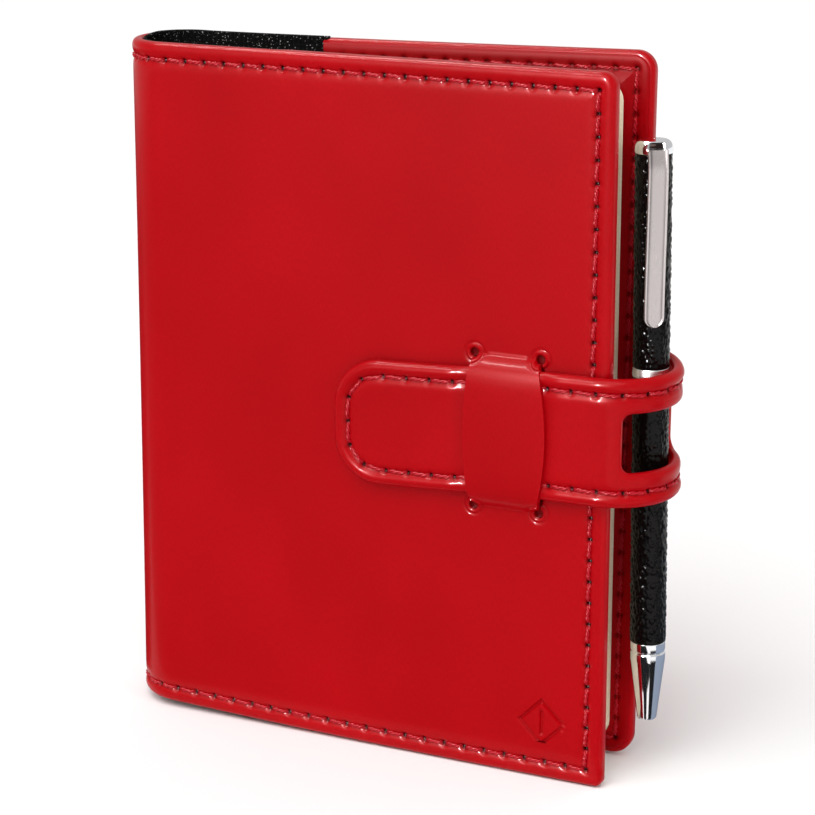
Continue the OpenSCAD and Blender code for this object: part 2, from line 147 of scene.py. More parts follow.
class Net:
    """One material and a short way to wire its nodes."""

    def __init__(self, name, colour, rough, metallic=0.0, **sockets):
        self.material = bpy.data.materials.new(name)
        self.material.use_nodes = True
        self.tree = self.material.node_tree
        self.shader = self.tree.nodes["Principled BSDF"]
        plain = {"Base Color": (*colour, 1), "Roughness": rough, "Metallic": metallic}
        for key, value in (plain | sockets).items():
            self.shader.inputs[key.replace("_", " ")].default_value = value

    def node(self, kind, **props):
        n = self.tree.nodes.new(kind)
        for k, v in props.items():
            if k in n.inputs:
                n.inputs[k].default_value = v
            else:
                setattr(n, k, v)
        return n

    def feed(self, socket, x):
        """Sets a number or a colour, or links an output."""
        if isinstance(x, (int, float)):
            socket.default_value = x
        elif isinstance(x, tuple):
            socket.default_value = (*x, 1)
        else:
            self.tree.links.new(x, socket)

    def attribute(self, name, output="Fac"):
        return self.node("ShaderNodeAttribute", attribute_name=name).outputs[output]

    def scaled(self, vec, scale):
        m = self.node("ShaderNodeMapping", Scale=scale)
        self.feed(m.inputs["Vector"], vec)
        return m.outputs["Vector"]

    def coords(self, scale):
        """The piece's own flat coordinates in millimetres, scaled."""
        return self.scaled(self.attribute("flat", "Vector"), scale)

    def object_coords(self, scale):
        """The object's own coordinates in metres, scaled."""
        return self.scaled(self.node("ShaderNodeTexCoord").outputs["Object"], scale)

    def noise(self, vec, scale, detail=3.0, rough=0.6):
        n = self.node("ShaderNodeTexNoise", Scale=scale, Detail=detail, Roughness=rough)
        self.feed(n.inputs["Vector"], vec)
        return n.outputs["Fac"]

    def ramp(self, fac, stops):
        r = self.node("ShaderNodeValToRGB")
        while len(r.color_ramp.elements) < len(stops):
            r.color_ramp.elements.new(0.5)
        for e, (p, c) in zip(r.color_ramp.elements, stops):
            e.position = p
            e.color = (*c, 1)
        self.feed(r.inputs["Fac"], fac)
        return r.outputs["Color"]

    def maths(self, op, *terms):
        n = self.node("ShaderNodeMath", operation=op)
        for socket, x in zip(n.inputs, terms):
            self.feed(socket, x)
        return n.outputs[0]

    def mix(self, fac, a, b, blend="MIX"):
        n = self.node("ShaderNodeMix", data_type="RGBA", blend_type=blend)
        for i, x in ((0, fac), (6, a), (7, b)):
            self.feed(n.inputs[i], x)
        return n.outputs[2]

    def bump(self, height, strength, distance, under=None):
        """A bump's normal, laid on another bump's if one is given."""
        n = self.node("ShaderNodeBump", Strength=strength, Distance=distance)
        self.feed(n.inputs["Height"], height)
        if under is not None:
            self.feed(n.inputs["Normal"], under)
        return n.outputs["Normal"]

    def paint(self, tint=None, rough=None, normal=None):
        """Links outputs to the shader and gives the finished material."""
        for key, output in (("Base Color", tint), ("Roughness", rough), ("Normal", normal)):
            if output is not None:
                self.feed(self.shader.inputs[key], output)
        return self.material


def red_leather(name, tone=1.0, rough=0.33, coat=0.1):
    """Smooth dyed leather: fine upright grain, pores, tone drift, and painted shade darkening the needle holes
    and pinches.
    """
    base = (0.46 * tone, 0.0045 * tone, 0.011 * tone)
    n = Net(name, base, rough, Specular_IOR_Level=0.1, Specular_Tint=(1.0, 0.42, 0.42, 1), Coat_Weight=coat,
            Coat_Roughness=0.11)
    grain = n.noise(n.coords((1.6, 0.28, 1.0)), 3.4, 4.0, 0.62)
    pores = n.noise(n.coords((1.0, 0.7, 1.0)), 5.5, 2.0, 0.5)
    drift = n.noise(n.coords((0.03, 0.02, 0.03)), 1.0, 2.0, 0.5)
    dark = (0.375 * tone, 0.0002 * tone, 0.0028 * tone)
    light = (0.435 * tone, 0.0004 * tone, 0.0040 * tone)
    tint = n.ramp(drift, [(0.3, dark), (0.7, light)])
    fine = n.ramp(grain, [(0.35, (0.90, 0.86, 0.86)), (0.65, (1.05, 1.1, 1.1))])
    tint = n.mix(1.0, tint, fine, "MULTIPLY")
    # painted shade: the pit attribute darkens needle holes, stitch pinches and the slit backing towards near
    # black
    tint = n.mix(n.attribute("pit"), tint, (0.012, 0.0006, 0.0008))
    uneven = n.maths("MULTIPLY_ADD", grain, 0.14, rough - 0.07)
    return n.paint(tint, uneven, n.bump(pores, 0.12, 0.00005, n.bump(grain, 0.22, 0.00006)))


def thread_material():
    n = Net("thread_red", (0.50, 0.02, 0.03), 0.3, Specular_IOR_Level=0.25, Specular_Tint=(1.0, 0.45, 0.45, 1))
    fibre = n.noise(n.coords((9.0, 9.0, 9.0)), 2.0)
    tint = n.ramp(fibre, [(0.3, (0.37, 0.003, 0.010)), (0.7, (0.48, 0.014, 0.026))])
    return n.paint(tint, normal=n.bump(fibre, 0.35, 0.0001))


def mesh_material():
    """Black woven lining: over-and-under bumps on top of the modelled ribs, with a few painted glints as bright
    specks.
    """
    n = Net("mesh_black", (0.002, 0.002, 0.002), 0.55, Specular_IOR_Level=0.03)
    wave = n.node("ShaderNodeTexWave", bands_direction="Y", wave_profile="SIN", Scale=1.6)
    n.feed(wave.inputs["Vector"], n.coords((1.0, 1.0, 1.0)))
    glint_speck = n.noise(n.coords((1.5, 1.6, 1.0)), 1.6, 1.0, 0.5)
    # the brightest stop is a painted glint: specks that stand in for sparkle in the weave
    dull, edge, painted_glint = (0.0010, 0.0010, 0.0010), (0.006, 0.006, 0.006), (0.6, 0.6, 0.62)
    tint = n.ramp(glint_speck, [(0.62, dull), (0.68, edge), (0.73, painted_glint)])
    return n.paint(tint, normal=n.bump(glint_speck, 0.5, 0.0002, n.bump(wave.outputs["Fac"], 0.7, 0.00025)))


def paper_material():
    """Cream paper, with ruled lines where the pit attribute says that the face is written on."""
    n = Net("paper_cream", (0.80, 0.70, 0.52), 0.85)
    fibre = n.noise(n.coords((0.8, 0.8, 0.8)), 2.0, 4.0)
    tint = n.ramp(fibre, [(0.3, (0.76, 0.64, 0.46)), (0.7, (0.86, 0.77, 0.60))])
    parts = n.node("ShaderNodeSeparateXYZ")
    n.feed(parts.inputs[0], n.attribute("flat", "Vector"))
    line = n.maths("LESS_THAN", n.maths("PINGPONG", parts.outputs["Y"], 3.5), 0.09)
    line = n.maths("MULTIPLY", n.maths("MULTIPLY", line, n.attribute("pit")), 0.45)
    tint = n.mix(line, tint, (0.35, 0.36, 0.42))
    return n.paint(tint, normal=n.bump(fibre, 0.15, 0.00005))


def card_material(name, low, high):
    n = Net(name, low, 0.8)
    f = n.noise(n.object_coords((900, 900, 900)), 1.0, 4.0)
    return n.paint(n.ramp(f, [(0.3, low), (0.7, high)]), normal=n.bump(f, 0.2, 0.00005))


def metal(name, colour, rough, amount=0.05, dark=None):
    """Polished metal with a faint upright grain; dark is painted shade in its grooves and slot."""
    n = Net(name, colour, rough, 1.0)
    # painted shade: the pit attribute darkens the cap's slot and the clip's grooves towards dark
    tint = n.mix(n.attribute("pit"), colour, dark) if dark else None
    f = n.noise(n.object_coords((700, 700, 120)), 1.0)
    return n.paint(tint, n.maths("MULTIPLY_ADD", f, amount, rough), n.bump(f, 0.02, 0.00002))


def pen_leather_material():
    n = Net("pen_leather", (0.004, 0.003, 0.003), 0.15, Specular_IOR_Level=0.15)
    f = n.noise(n.coords((1.0, 1.0, 1.0)), 2.2)
    tint = n.ramp(f, [(0.3, (0.0015, 0.0012, 0.0012)), (0.75, (0.005, 0.004, 0.0035))])
    return n.paint(tint, normal=n.bump(f, 0.3, 0.00015))


RED = red_leather("leather_red")
# a darker copy of the red leather: tone 0.8 is painted shade for the inner faces; roughness and coat are set on
# their own
RED_IN_SHADED = red_leather("leather_red_inner_shaded", 0.8, 0.45, 0.0)
THREAD = thread_material()
MESH = mesh_material()
PAPER = paper_material()
CARD = card_material("card_cream", (0.62, 0.55, 0.42), (0.72, 0.65, 0.52))
BOARD = card_material("board_grey", (0.22, 0.19, 0.15), (0.30, 0.26, 0.21))
# the last colour of chrome and chrome_clip is their painted shade in the cap's slot and the clip's grooves
CHROME = metal("chrome", (0.86, 0.87, 0.90), 0.07, 0.05, (0.035, 0.024, 0.022))
BAND_METAL = metal("chrome_band", (0.88, 0.88, 0.89), 0.22)
CLIP_METAL = metal("chrome_clip", (0.56, 0.51, 0.505), 0.24, 0.06, (0.10, 0.085, 0.085))
BRASS = metal("brass", (0.72, 0.52, 0.22), 0.22)
PLASTIC = card_material("plastic_white", (0.72, 0.72, 0.71), (0.80, 0.80, 0.79))
PEN_LEATHER = pen_leather_material()


# ------------------------------------------------------------------ mesh helpers
def smooth(a, b, x):
    t = min(max((x - a) / (b - a), 0.0), 1.0)
    return t * t * (3 - 2 * t)


def piece(name, verts, faces, material, flats=None, pits=None, sharp=None):
    """A shown piece. verts are in metres; flats are the flat millimetre coordinates its texture follows."""
    me = bpy.data.meshes.new(name)
    me.from_pydata([tuple(v) for v in verts], [], faces)
    me.validate()
    a = me.attributes.new("flat", "FLOAT_VECTOR", "POINT")
    src = flats if flats is not None else [((v[0] - X0) / MM, v[2] / MM, (v[1] - Y0) / MM) for v in verts]
    a.data.foreach_set("vector", [c for p in src for c in p])
    # pit: painted shade in needle holes, pinches, grooves and slots; on paper, the ruled lines
    p = me.attributes.new("pit", "FLOAT", "POINT")
    p.data.foreach_set("value", list(pits) if pits is not None else [0.0] * len(verts))
    bm = bmesh.new()
    bm.from_mesh(me)
    bmesh.ops.remove_doubles(bm, verts=bm.verts, dist=2e-6)
    bmesh.ops.recalc_face_normals(bm, faces=bm.faces)
    for f in bm.faces:
        f.smooth = True
    if sharp:
        for e in bm.edges:
            if len(e.link_faces) == 2 and e.calc_face_angle(0) > math.radians(sharp):
                e.smooth = False
    bm.to_mesh(me)
    bm.free()
    me.materials.append(material)
    o = bpy.data.objects.new(name, me)
    bpy.context.scene.collection.objects.link(o)
    return o


def inside(points, loop):
    """Which points (n x 2) lie inside a closed loop."""
    x, y = points[:, 0], points[:, 1]
    hit = np.zeros(len(points), bool)
    lp = np.array(loop)
    nx = np.roll(lp, -1, axis=0)
    for (x1, y1), (x2, y2) in zip(lp, nx):
        cross = (y1 > y) != (y2 > y)
        if cross.any():
            xs = (x2 - x1) * (y - y1) / ((y2 - y1) if y2 != y1 else 1e-12) + x1
            hit ^= cross & (x < xs)
    return hit


def fill(loops, extra):
    """Triangles over the first loop, with the other loops left open. Returns points and faces."""
    pts, edges = [], []
    for loop in loops:
        s = len(pts)
        pts += [tuple(p) for p in loop]
        edges += [(s + i, s + (i + 1) % len(loop)) for i in range(len(loop))]
    if len(extra):
        ex = np.array(extra, float)
        keep = inside(ex, loops[0])
        for hole in loops[1:]:
            keep &= ~inside(ex, hole)
        pts += [tuple(p) for p in ex[keep]]
    co, _, faces, _, _, _ = delaunay_2d_cdt([Vector(p) for p in pts], edges, [], 0, 1e-4)
    co = np.array([(c[0], c[1]) for c in co])
    mid = np.array([co[list(f)].mean(axis=0) for f in faces])
    ok = inside(mid, loops[0])
    for hole in loops[1:]:
        ok &= ~inside(mid, hole)
    return co, [list(f) for f, k in zip(faces, ok) if k]


def grid_points(x0, x1, y0, y1, step):
    nx, ny = max(2, round((x1 - x0) / step)), max(2, round((y1 - y0) / step))
    return [(x0 + (x1 - x0) * (i + 0.5) / nx, y0 + (y1 - y0) * (j + 0.5) / ny)
            for i in range(nx) for j in range(ny)]


def steps(a, b, step):
    n = max(1, round(abs(b - a) / step))
    return [a + (b - a) * i / n for i in range(n + 1)]


def quarter(cx, cy, r, start, n):
    """A quarter circle of n + 1 points, anticlockwise from an angle in degrees."""
    turns = [math.radians(start + 90 * i / n) for i in range(n + 1)]
    return [(cx + r * math.cos(a), cy + r * math.sin(a)) for a in turns]


class Builder:
    """Collects vertices in flat coordinates (u, z, n), then maps them into the row frame."""

    def __init__(self):
        self.v, self.f, self.pit = [], [], []

    def add(self, pts, pits=None):
        s = len(self.v)
        self.v += pts
        self.pit += list(pits) if pits is not None else [0.0] * len(pts)
        return list(range(s, s + len(pts)))

    def add_pitted(self, pairs):
        """Adds (point, painted shade) pairs."""
        return self.add([p for p, _ in pairs], [dark for _, dark in pairs])

    def strip(self, a, b, closed=False):
        n = len(a)
        for i in range(n if closed else n - 1):
            j = (i + 1) % n
            self.f.append([a[i], a[j], b[j], b[i]])

    def loft(self, rings, closed=False, capped=False):
        for r0, r1 in zip(rings, rings[1:]):
            self.strip(r0, r1, closed)
        if capped:
            self.f += [rings[0][::-1], rings[-1]]

    def two_sides(self, upper, lower, faces):
        """The same faces on both sets of vertices, the lower ones turned over."""
        self.f += [[upper[i] for i in f] for f in faces]
        self.f += [[lower[i] for i in f][::-1] for f in faces]

    def make(self, name, mapping, material, sharp=None):
        return piece(name, [mapping(*p) for p in self.v], self.f, material, self.v, self.pit, sharp)


def dress(o, body, slot, *nodes):
    """The body that a piece rides and the CAD nodes that it stands for; the slot is not used."""
    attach(o, body)
    if nodes:
        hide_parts(*nodes)


# ------------------------------------------------------------------ the cover's shape
FOOT_WIDER, FOOT_HIGHER, FOOT_FADE = 1.3, 1.8, 90
LEAN_OUT, LEAN_OUT_TOP = -0.8, 4.0
LEAN_UP, LEAN_UP_TOP = 0.5, 1.2


def settle(u, z):
    """The spine's foot stands wider and its lower edge higher: (sideways, up) in millimetres."""
    near = max(0.0, 1 - max(u, 0.0) / FOOT_FADE) ** 2
    low = max(0.0, 1 - z / COVER_H)
    return -FOOT_WIDER * near * low ** 1.5, FOOT_HIGHER * near * low ** 6


def front_map(u, z, n):
    """Flat leather coordinates to the row frame: flat on the cover, wrapped round the spine below SPINE_R."""
    wide, up = settle(u, z)
    x, y = flat_or_round(u, n)
    return world(x + wide, y, z + up)


def flat_or_round(u, n):
    """Across the leather: straight on the cover, a circle round the spine."""
    if u >= SPINE_R:
        return u, n
    a = (SPINE_R - u) / SPINE_R
    r = SPINE_R - n
    return SPINE_R - r * math.sin(a), SPINE_R - r * math.cos(a)


def back_lean(u, z):
    """The soft back cover splays a little: (outward, upward) in millimetres, nothing at the spine."""
    reach = max(0.0, (u - PANEL_U) / (COVER_W - PANEL_U))
    tall = z / COVER_H
    return (LEAN_OUT + LEAN_OUT_TOP * tall) * reach ** 1.4, (LEAN_UP + LEAN_UP_TOP * tall) * reach ** 1.2


def back_map(u, z, n):
    x, y, zz = front_map(u, z, n)
    out, up = back_lean(u, z) if u > PANEL_U else (0.0, 0.0)
    return (x, 2 * Y0 + THICK * MM - y + out * MM, zz + up * MM)


def edge_depth(u):
    return EDGE_THIN + (EDGE_DEEP - EDGE_THIN) * smooth(POCKET_X - 3, POCKET_X + 1.5, u)


RIM = [  # (distance from the edge, depth below the face): panel, stitch pinch, padded rim, rounded edge
    (8.5, 0.0), (7.0, 0.0), (6.0, 0.01), (5.4, 0.04), (4.9, 0.12), (4.5, 0.24), (4.15, 0.34), (3.8, 0.38),
    (3.45, 0.34), (3.1, 0.20), (2.75, 0.06), (2.3, -0.05), (1.8, -0.10), (1.3, -0.07), (0.9, 0.03),
    (0.58, 0.20), (0.30, 0.45), (0.12, 0.78), (0.02, 1.15)]
RIM_IN = [  # (distance from the edge, share of the edge's depth, plus this)
    (0.0, 1.0, -0.95), (0.03, 1.0, -0.7), (0.14, 1.0, -0.4), (0.36, 1.0, -0.16), (0.7, 1.0, -0.03),
    (1.2, 1.0, 0.0), (3.0, 1.0, -0.1), (3.5, 0.0, 1.3), (8.5, 0.0, 1.2)]


def panel_path(d, u0, radii):
    """Bottom, fore and top edge at distance d inside the outline; radii of the lower and upper corner."""
    (cb, rb), (ct, rt) = [(max(r, d + LEAST), max(r - d, LEAST)) for r in radii]
    count = round((COVER_W - u0 - 4) / EDGE_STEP)
    pts = [(u0 + (COVER_W - cb - u0) * i / count, d) for i in range(count)]
    pts += quarter(COVER_W - cb, cb, rb, -90, 10)
    up = round((COVER_H - 8) / EDGE_STEP)
    pts += [(COVER_W - d, cb + (COVER_H - ct - cb) * i / up) for i in range(1, up)]
    pts += quarter(COVER_W - ct, COVER_H - ct, rt, 0, 10)
    back = [(u0 + (COVER_W - ct - u0) * i / count, COVER_H - d) for i in range(count)]
    return pts + back[::-1]


# the panel's own points start this far inside its edges, past the rim's profile
FACE_IN = 9
FRONT_CORNERS, BACK_CORNERS, POCKET_CORNERS = (1.8, 3.4), (5.0, 4.4), (6.0, 4.6)


def stitch_holes():
    """Needle holes of one cover, in order along the bottom, the fore edge and the top."""
    u_edge = COVER_W - STITCH_IN
    along = steps(SPINE_MID_U, u_edge, STITCH_PITCH)
    up = steps(STITCH_IN, COVER_H - STITCH_IN, STITCH_PITCH)
    return ([(u, STITCH_IN) for u in along], [(u_edge, z) for z in up],
            [(u, COVER_H - STITCH_IN) for u in along])


HOLES = stitch_holes()
ALL_HOLES = np.array(HOLES[0] + HOLES[1] + HOLES[2])


def pinch(u, z, d, band, holes=ALL_HOLES, radius=0.6):
    """How deep (0 to 1) the nearest stitch pinches the leather, and how much painted shade darkens it there, in
    a band of distances d.
    """
    if not band[0] < d < band[1]:
        return 0.0, 0.0
    d2 = ((holes - (u, z)) ** 2).sum(axis=1).min()
    pit = math.exp(-d2 / radius ** 2) if d2 < 6 else 0.0
    return pit, min(1.0, 2.2 * pit ** 1.6)


COVER_BAND = (2.7, 5)


def rim_point(u, z, d, n, holes=ALL_HOLES):
    """A point of the padded rim, a little uneven, with its painted shade."""
    pit, dark = pinch(u, z, d, COVER_BAND, holes)
    sway = 0.03 * noise.noise(Vector((u * 0.25, z * 0.25, 3.1))) if d < 3 else 0.0
    return (u, z, n + pit + sway), dark


def rim_rings(b, path):
    """Lofts the rim's profile round a path, from the face over the edge to the inside."""
    rings = [b.add_pitted([rim_point(u, z, d, n) for u, z in path(d)]) for d, n in RIM]
    for d, share, plus in RIM_IN:
        rings.append(b.add([(u, z, share * edge_depth(u) + plus) for u, z in path(d)]))
    b.loft(rings)


# keeper slits and the sunken mark on the front cover
RELIEF_R = 1.1


def slit_x(side, t):
    """Middle line of a bowed slit, t from -1 to 1 along its height."""
    bow, z = KEEPER_BOWS[side], t * KEEPER_TOP
    radius = (KEEPER_TOP ** 2 + bow ** 2) / (2 * bow)
    return KEEPER_X + side * (KEEPER_HALF + bow - radius + math.sqrt(radius ** 2 - z * z))


def slit_loop(side):
    """Outline of one slit with its round relief holes."""
    pts_out, pts_in, ends = [], [], []
    for t in np.linspace(-0.945, 0.945, 60):
        w = 0.12 + 0.16 * (1 - t * t)
        x, z = slit_x(side, t), STRAP_Z + t * KEEPER_TOP
        pts_out.append((x + side * w, z))
        pts_in.append((x - side * w, z))
    gap = math.atan2(0.3, RELIEF_R)
    for s in (1, -1):
        cx, cz = slit_x(side, s), STRAP_Z + s * KEEPER_TOP
        arc = []
        for i in range(21):
            # from the outer side of the slit, round the far side, to the inner side
            a = side * s * (gap + (2 * math.pi - 2 * gap) * i / 20)
            arc.append((cx + RELIEF_R * math.sin(a), cz - s * RELIEF_R * math.cos(a)))
        ends.append(arc)
    return pts_out + ends[0] + pts_in[::-1] + ends[1]


RELIEFS = [(slit_x(s, t), STRAP_Z + t * KEEPER_TOP) for s in (-1, 1) for t in (-1, 1)]
RELIEF_RINGS = (1.28, 1.45, 1.62, 1.8, 2.0, 2.2, 2.45, 2.75, 3.1)


MARK = (COVER_W - 14.2, 13.2)
MARK_SIZE, MARK_BAR, MARK_LINE, MARK_DEPTH = 3.65, 2.5, 0.25, 0.5
# how far the finer points reach round the mark, towards the cover's middle and towards its edges
MARK_IN, MARK_OUT = 6.4, 4.6


def mark_depth(u, z):
    """A plain lozenge outline with a short bar, pressed into the leather."""
    x, y = u - MARK[0], z - MARK[1]
    ring = abs((abs(x) + abs(y)) / math.sqrt(2) - MARK_SIZE)
    bar = max(abs(x), abs(y) - MARK_BAR)
    near = min(ring - MARK_LINE, bar - MARK_LINE)
    return MARK_DEPTH * (1 - smooth(0.0, 0.3, near))


def lift(u, z):
    """How far the keeper band stands off the cover at this point."""
    t = (z - STRAP_Z) / KEEPER_TOP
    if abs(t) >= 1:
        return 0.0
    left, right = slit_x(-1, t), slit_x(1, t)
    if not left < u < right:
        return 0.0
    across = (u - left) / (right - left) * 2 - 1
    crown = KEEPER_CROWN * (1 - across * across) * (1 - t * t)
    return (1 - t ** KEEPER_FLAT) * (KEEPER_LIFT - KEEPER_SLACK + crown)


def front_points(extra):
    """The panel's inner points, closer together round the keeper, its relief holes and the mark."""
    wide, tall = KEEPER_ZONE
    extra = [p for p in extra if abs(p[0] - KEEPER_X) > wide or abs(p[1] - STRAP_Z) > tall]
    extra += grid_points(KEEPER_X - wide, KEEPER_X + wide, STRAP_Z - tall, STRAP_Z + tall, 0.6)
    extra = [p for p in extra if max(abs(p[0] - MARK[0]), abs(p[1] - MARK[1])) > MARK_IN]
    extra += grid_points(MARK[0] - MARK_IN, MARK[0] + MARK_OUT, MARK[1] - MARK_OUT, MARK[1] + MARK_IN, 0.2)
    for cx, cz in RELIEFS:
        extra = [p for p in extra if math.dist(p, (cx, cz)) > RELIEF_RINGS[-1]]
        turns = [0.131 * k for k in range(48)]
        extra += [(cx + r * math.cos(a), cz + r * math.sin(a)) for a in turns for r in RELIEF_RINGS]
    return extra


def front_relief(u, z):
    """Depth of the front panel's face: keeper band, mark, and the embossed rings round the relief holes."""
    n = mark_depth(u, z) - lift(u, z)
    for cx, cz in RELIEFS:
        r = math.hypot(u - cx, z - cz)
        if r < 3.4:
            n -= 0.30 * math.exp(-((r - 1.55) / 0.28) ** 2) - 0.22 * math.exp(-((r - 2.15) / 0.28) ** 2)
    return n


def slit_walls(b, co, faces, upper, lower):
    """Joins the face to the inside along every open edge near the keeper."""
    wide, tall = [half + 1 for half in KEEPER_ZONE]
    border = {}
    for f in faces:
        for e in zip(f, f[1:] + f[:1]):
            key = tuple(sorted(e))
            border[key] = border.get(key, 0) + 1
    for (i, j), count in border.items():
        if count == 1 and abs(co[i][0] - KEEPER_X) < wide and abs(co[i][1] - STRAP_Z) < tall:
            b.f.append([upper[i], upper[j], lower[j], lower[i]])


def slit_backing(b):
    """The layer that shows through the slits, darkened with painted shade."""
    wide, tall = [half + 1 for half in KEEPER_ZONE]
    x0, x1, z0, z1 = KEEPER_X - wide, KEEPER_X + wide, STRAP_Z - tall, STRAP_Z + tall
    # pit 0.3 on both layers is painted shade
    near, far = [b.add([(x0, z0, n), (x1, z0, n), (x1, z1, n), (x0, z1, n)], [0.3] * 4)
                 for n in (LEATHER_T + 0.02, LEATHER_T + 0.12)]
    b.strip(near, far, closed=True)
    b.f += [near, far[::-1]]


def cover_panel(front):
    """One cover's outer leather, from its fore edge to the start of the spine."""
    b = Builder()

    def path(d):
        return panel_path(d, PANEL_U, FRONT_CORNERS if front else BACK_CORNERS)

    rim_rings(b, path)
    loops = [path(RIM[0][0])]
    extra = grid_points(PANEL_U, COVER_W - FACE_IN, FACE_IN, COVER_H - FACE_IN, 2.6)
    if front:
        loops += [slit_loop(-1), slit_loop(1)]
        extra = front_points(extra)
    co, faces = fill(loops, extra)
    top = []
    for u, z in co:
        n = 0.035 * noise.noise(Vector((u * 0.035, z * 0.035, 0.0)))
        n *= smooth(8.6, 14, min(z, COVER_H - z, COVER_W - u)) * smooth(PANEL_U, PANEL_U + 8, u)
        top.append((u, z, n + (front_relief(u, z) if front else 0.0)))
    upper = b.add(top)
    lower = b.add([(u, z, LEATHER_T - (KEEPER_UNDER * lift(u, z) if front else 0)) for u, z in co])
    b.two_sides(upper, lower, faces)
    if front:
        slit_walls(b, co, faces, upper, lower)
        slit_backing(b)
        o = b.make("cover_front", front_map, RED, sharp=50)
        dress(o, "front_cover", "cover_leather", "front_skin", "keeper_band")
    else:
        o = b.make("cover_back", back_map, RED, sharp=50)
        dress(o, "back_cover", "cover_leather", "back_skin")


def spine_us(u0, u1):
    """Stations between two flat positions, crowded at both ends so that neighbouring pieces shade alike."""
    inner = steps(u0, u1, 0.35)
    first = [u0 + (inner[1] - u0) * k for k in (0.0, 0.06, 0.25)]
    last = [u1 - (u1 - inner[-2]) * k for k in (0.25, 0.06, 0.0)]
    return first + inner[1:-1] + last


def spine_ring(u, top, holes):
    """The spine leather's rim at its top or bottom edge, from the face to the inside, with painted shade."""
    seq = [rim_point(u, COVER_H - d if top else d, d, n, holes) for d, n in RIM]
    seq += [((u, COVER_H - d if top else d, share * EDGE_THIN + plus), 0.0) for d, share, plus in RIM_IN]
    return seq


def spine_sheet(b, us, holes):
    """Closed leather shell over the stations us, top rim to bottom rim, in flat coordinates."""
    rows_z = steps(RIM[0][0], COVER_H - RIM[0][0], 6.0)[1:-1]
    loops = []
    for u in us:
        middle = [((u, z, 0.0), 0.0) for z in rows_z]
        loops.append(b.add_pitted(spine_ring(u, False, holes)[::-1] + middle + spine_ring(u, True, holes)))
    b.loft(loops, closed=True)


def mid_map(u, z, n):
    """Past the middle of the spine the flat coordinate goes on towards the back cover."""
    if u >= SPINE_MID_U:
        return front_map(u, z, n)
    return back_map(2 * SPINE_MID_U - u, z, n)


def quarter_points(mapping):
    return mapping(ARC45_U, COVER_H / 2, 0.0), mapping(SPINE_R, COVER_H / 2, 0.0)


SPINE_PARTS = [  # name, stations, map, bodies, blend from, blend to, first part of the CAD nodes' names
    ("front", (ARC45_U, PANEL_U), front_map, ("spine_front", "front_cover"),
     *quarter_points(front_map), "spine_front"),
    ("back", (ARC45_U, PANEL_U), back_map, ("spine_back", "back_cover"),
     *quarter_points(back_map), "spine_back"),
    ("middle", (2 * SPINE_MID_U - ARC45_U, ARC45_U), mid_map, ("spine_back", "spine_front"),
     back_map(ARC45_U, COVER_H / 2, 0.0), front_map(ARC45_U, COVER_H / 2, 0.0), None),
]
COVERS = [("front", front_map, "front_cover"), ("back", back_map, "back_cover")]
LINING_N = EDGE_THIN + 0.12
LINING_PROUD = 0.55
RIB_PITCH, WEAVE_PITCH = 1.15, 1.2


def lining_sheet(name, u0, u1, mapping, behind=0.0):
    """Ribbed woven lining between two flat positions, a thin closed sheet.

    Behind the spine it stands a little above the leather's rim; behind is that share everywhere."""
    b = Builder()
    mid_rows = steps(14.0, COVER_H - 14.0, 6.0)
    low_rows = [0.1, 0.35] + steps(0.7, 14.0, 0.3)[:-1]
    rows = low_rows + mid_rows + [COVER_H - z for z in low_rows[::-1]]
    loops = []
    for u in steps(u0, u1, 0.16):
        rib = abs(math.sin(math.pi * u / RIB_PITCH))
        face = []
        proud = LINING_PROUD * max(behind, 1 - smooth(SPINE_MID_U - 5, SPINE_MID_U + 5, u))
        stretch = 1 + proud / COVER_H
        for i, z in enumerate(rows):
            end = min(i, len(rows) - 1 - i)
            woven = 0.55 + 0.45 * math.cos(2 * math.pi * z / WEAVE_PITCH) if 1 < end < len(low_rows) else 0.6
            face.append((u, z * stretch, LINING_N + 0.4 + 0.3 * rib * woven - (0.35 if end == 0 else 0.0)))
        back = [(u, z * stretch, LINING_N) for z in rows]
        loops.append(b.add(face + back[::-1]))
    b.loft(loops, closed=True, capped=True)
    o = b.make(name, mapping, MESH)
    return o


def spine_all():
    holes = np.array([(u, z) for u, z in ALL_HOLES] + [(2 * SPINE_MID_U - u, z) for u, z in ALL_HOLES])
    for label, (u0, u1), mapping, (a, c), s, e, node in SPINE_PARTS:
        b = Builder()
        spine_sheet(b, spine_us(u0, u1), holes)
        o = b.make(f"spine_leather_{label}", mapping, RED)
        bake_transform(o, a, c, start=s, end=e)
        lining = lining_sheet(f"spine_lining_{label}", u0, u1, mapping, 1.0 if label == "back" else 0.0)
        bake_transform(lining, a, c, start=s, end=e)
        if node:
            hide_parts(f"{node}_skin")
            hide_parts(f"{node}_lining")
    for label, mapping, body in COVERS:
        behind = 1.0 if label == "back" else 0.0
        lining = lining_sheet(f"lining_{label}", PANEL_U, POCKET_X + 1.2, mapping, behind)
        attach(lining, body)
        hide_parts(f"{label}_lining")


# ------------------------------------------------------------------ stitches
# (depth in the needle holes, depth at the stitch's middle[, twist]) of each row of thread
THREAD_OUT, THREAD_IN, THREAD_STRAP = (0.95, 0.16), (2.9, 3.62, -1.0), (1.45, 2.14, -1.0)


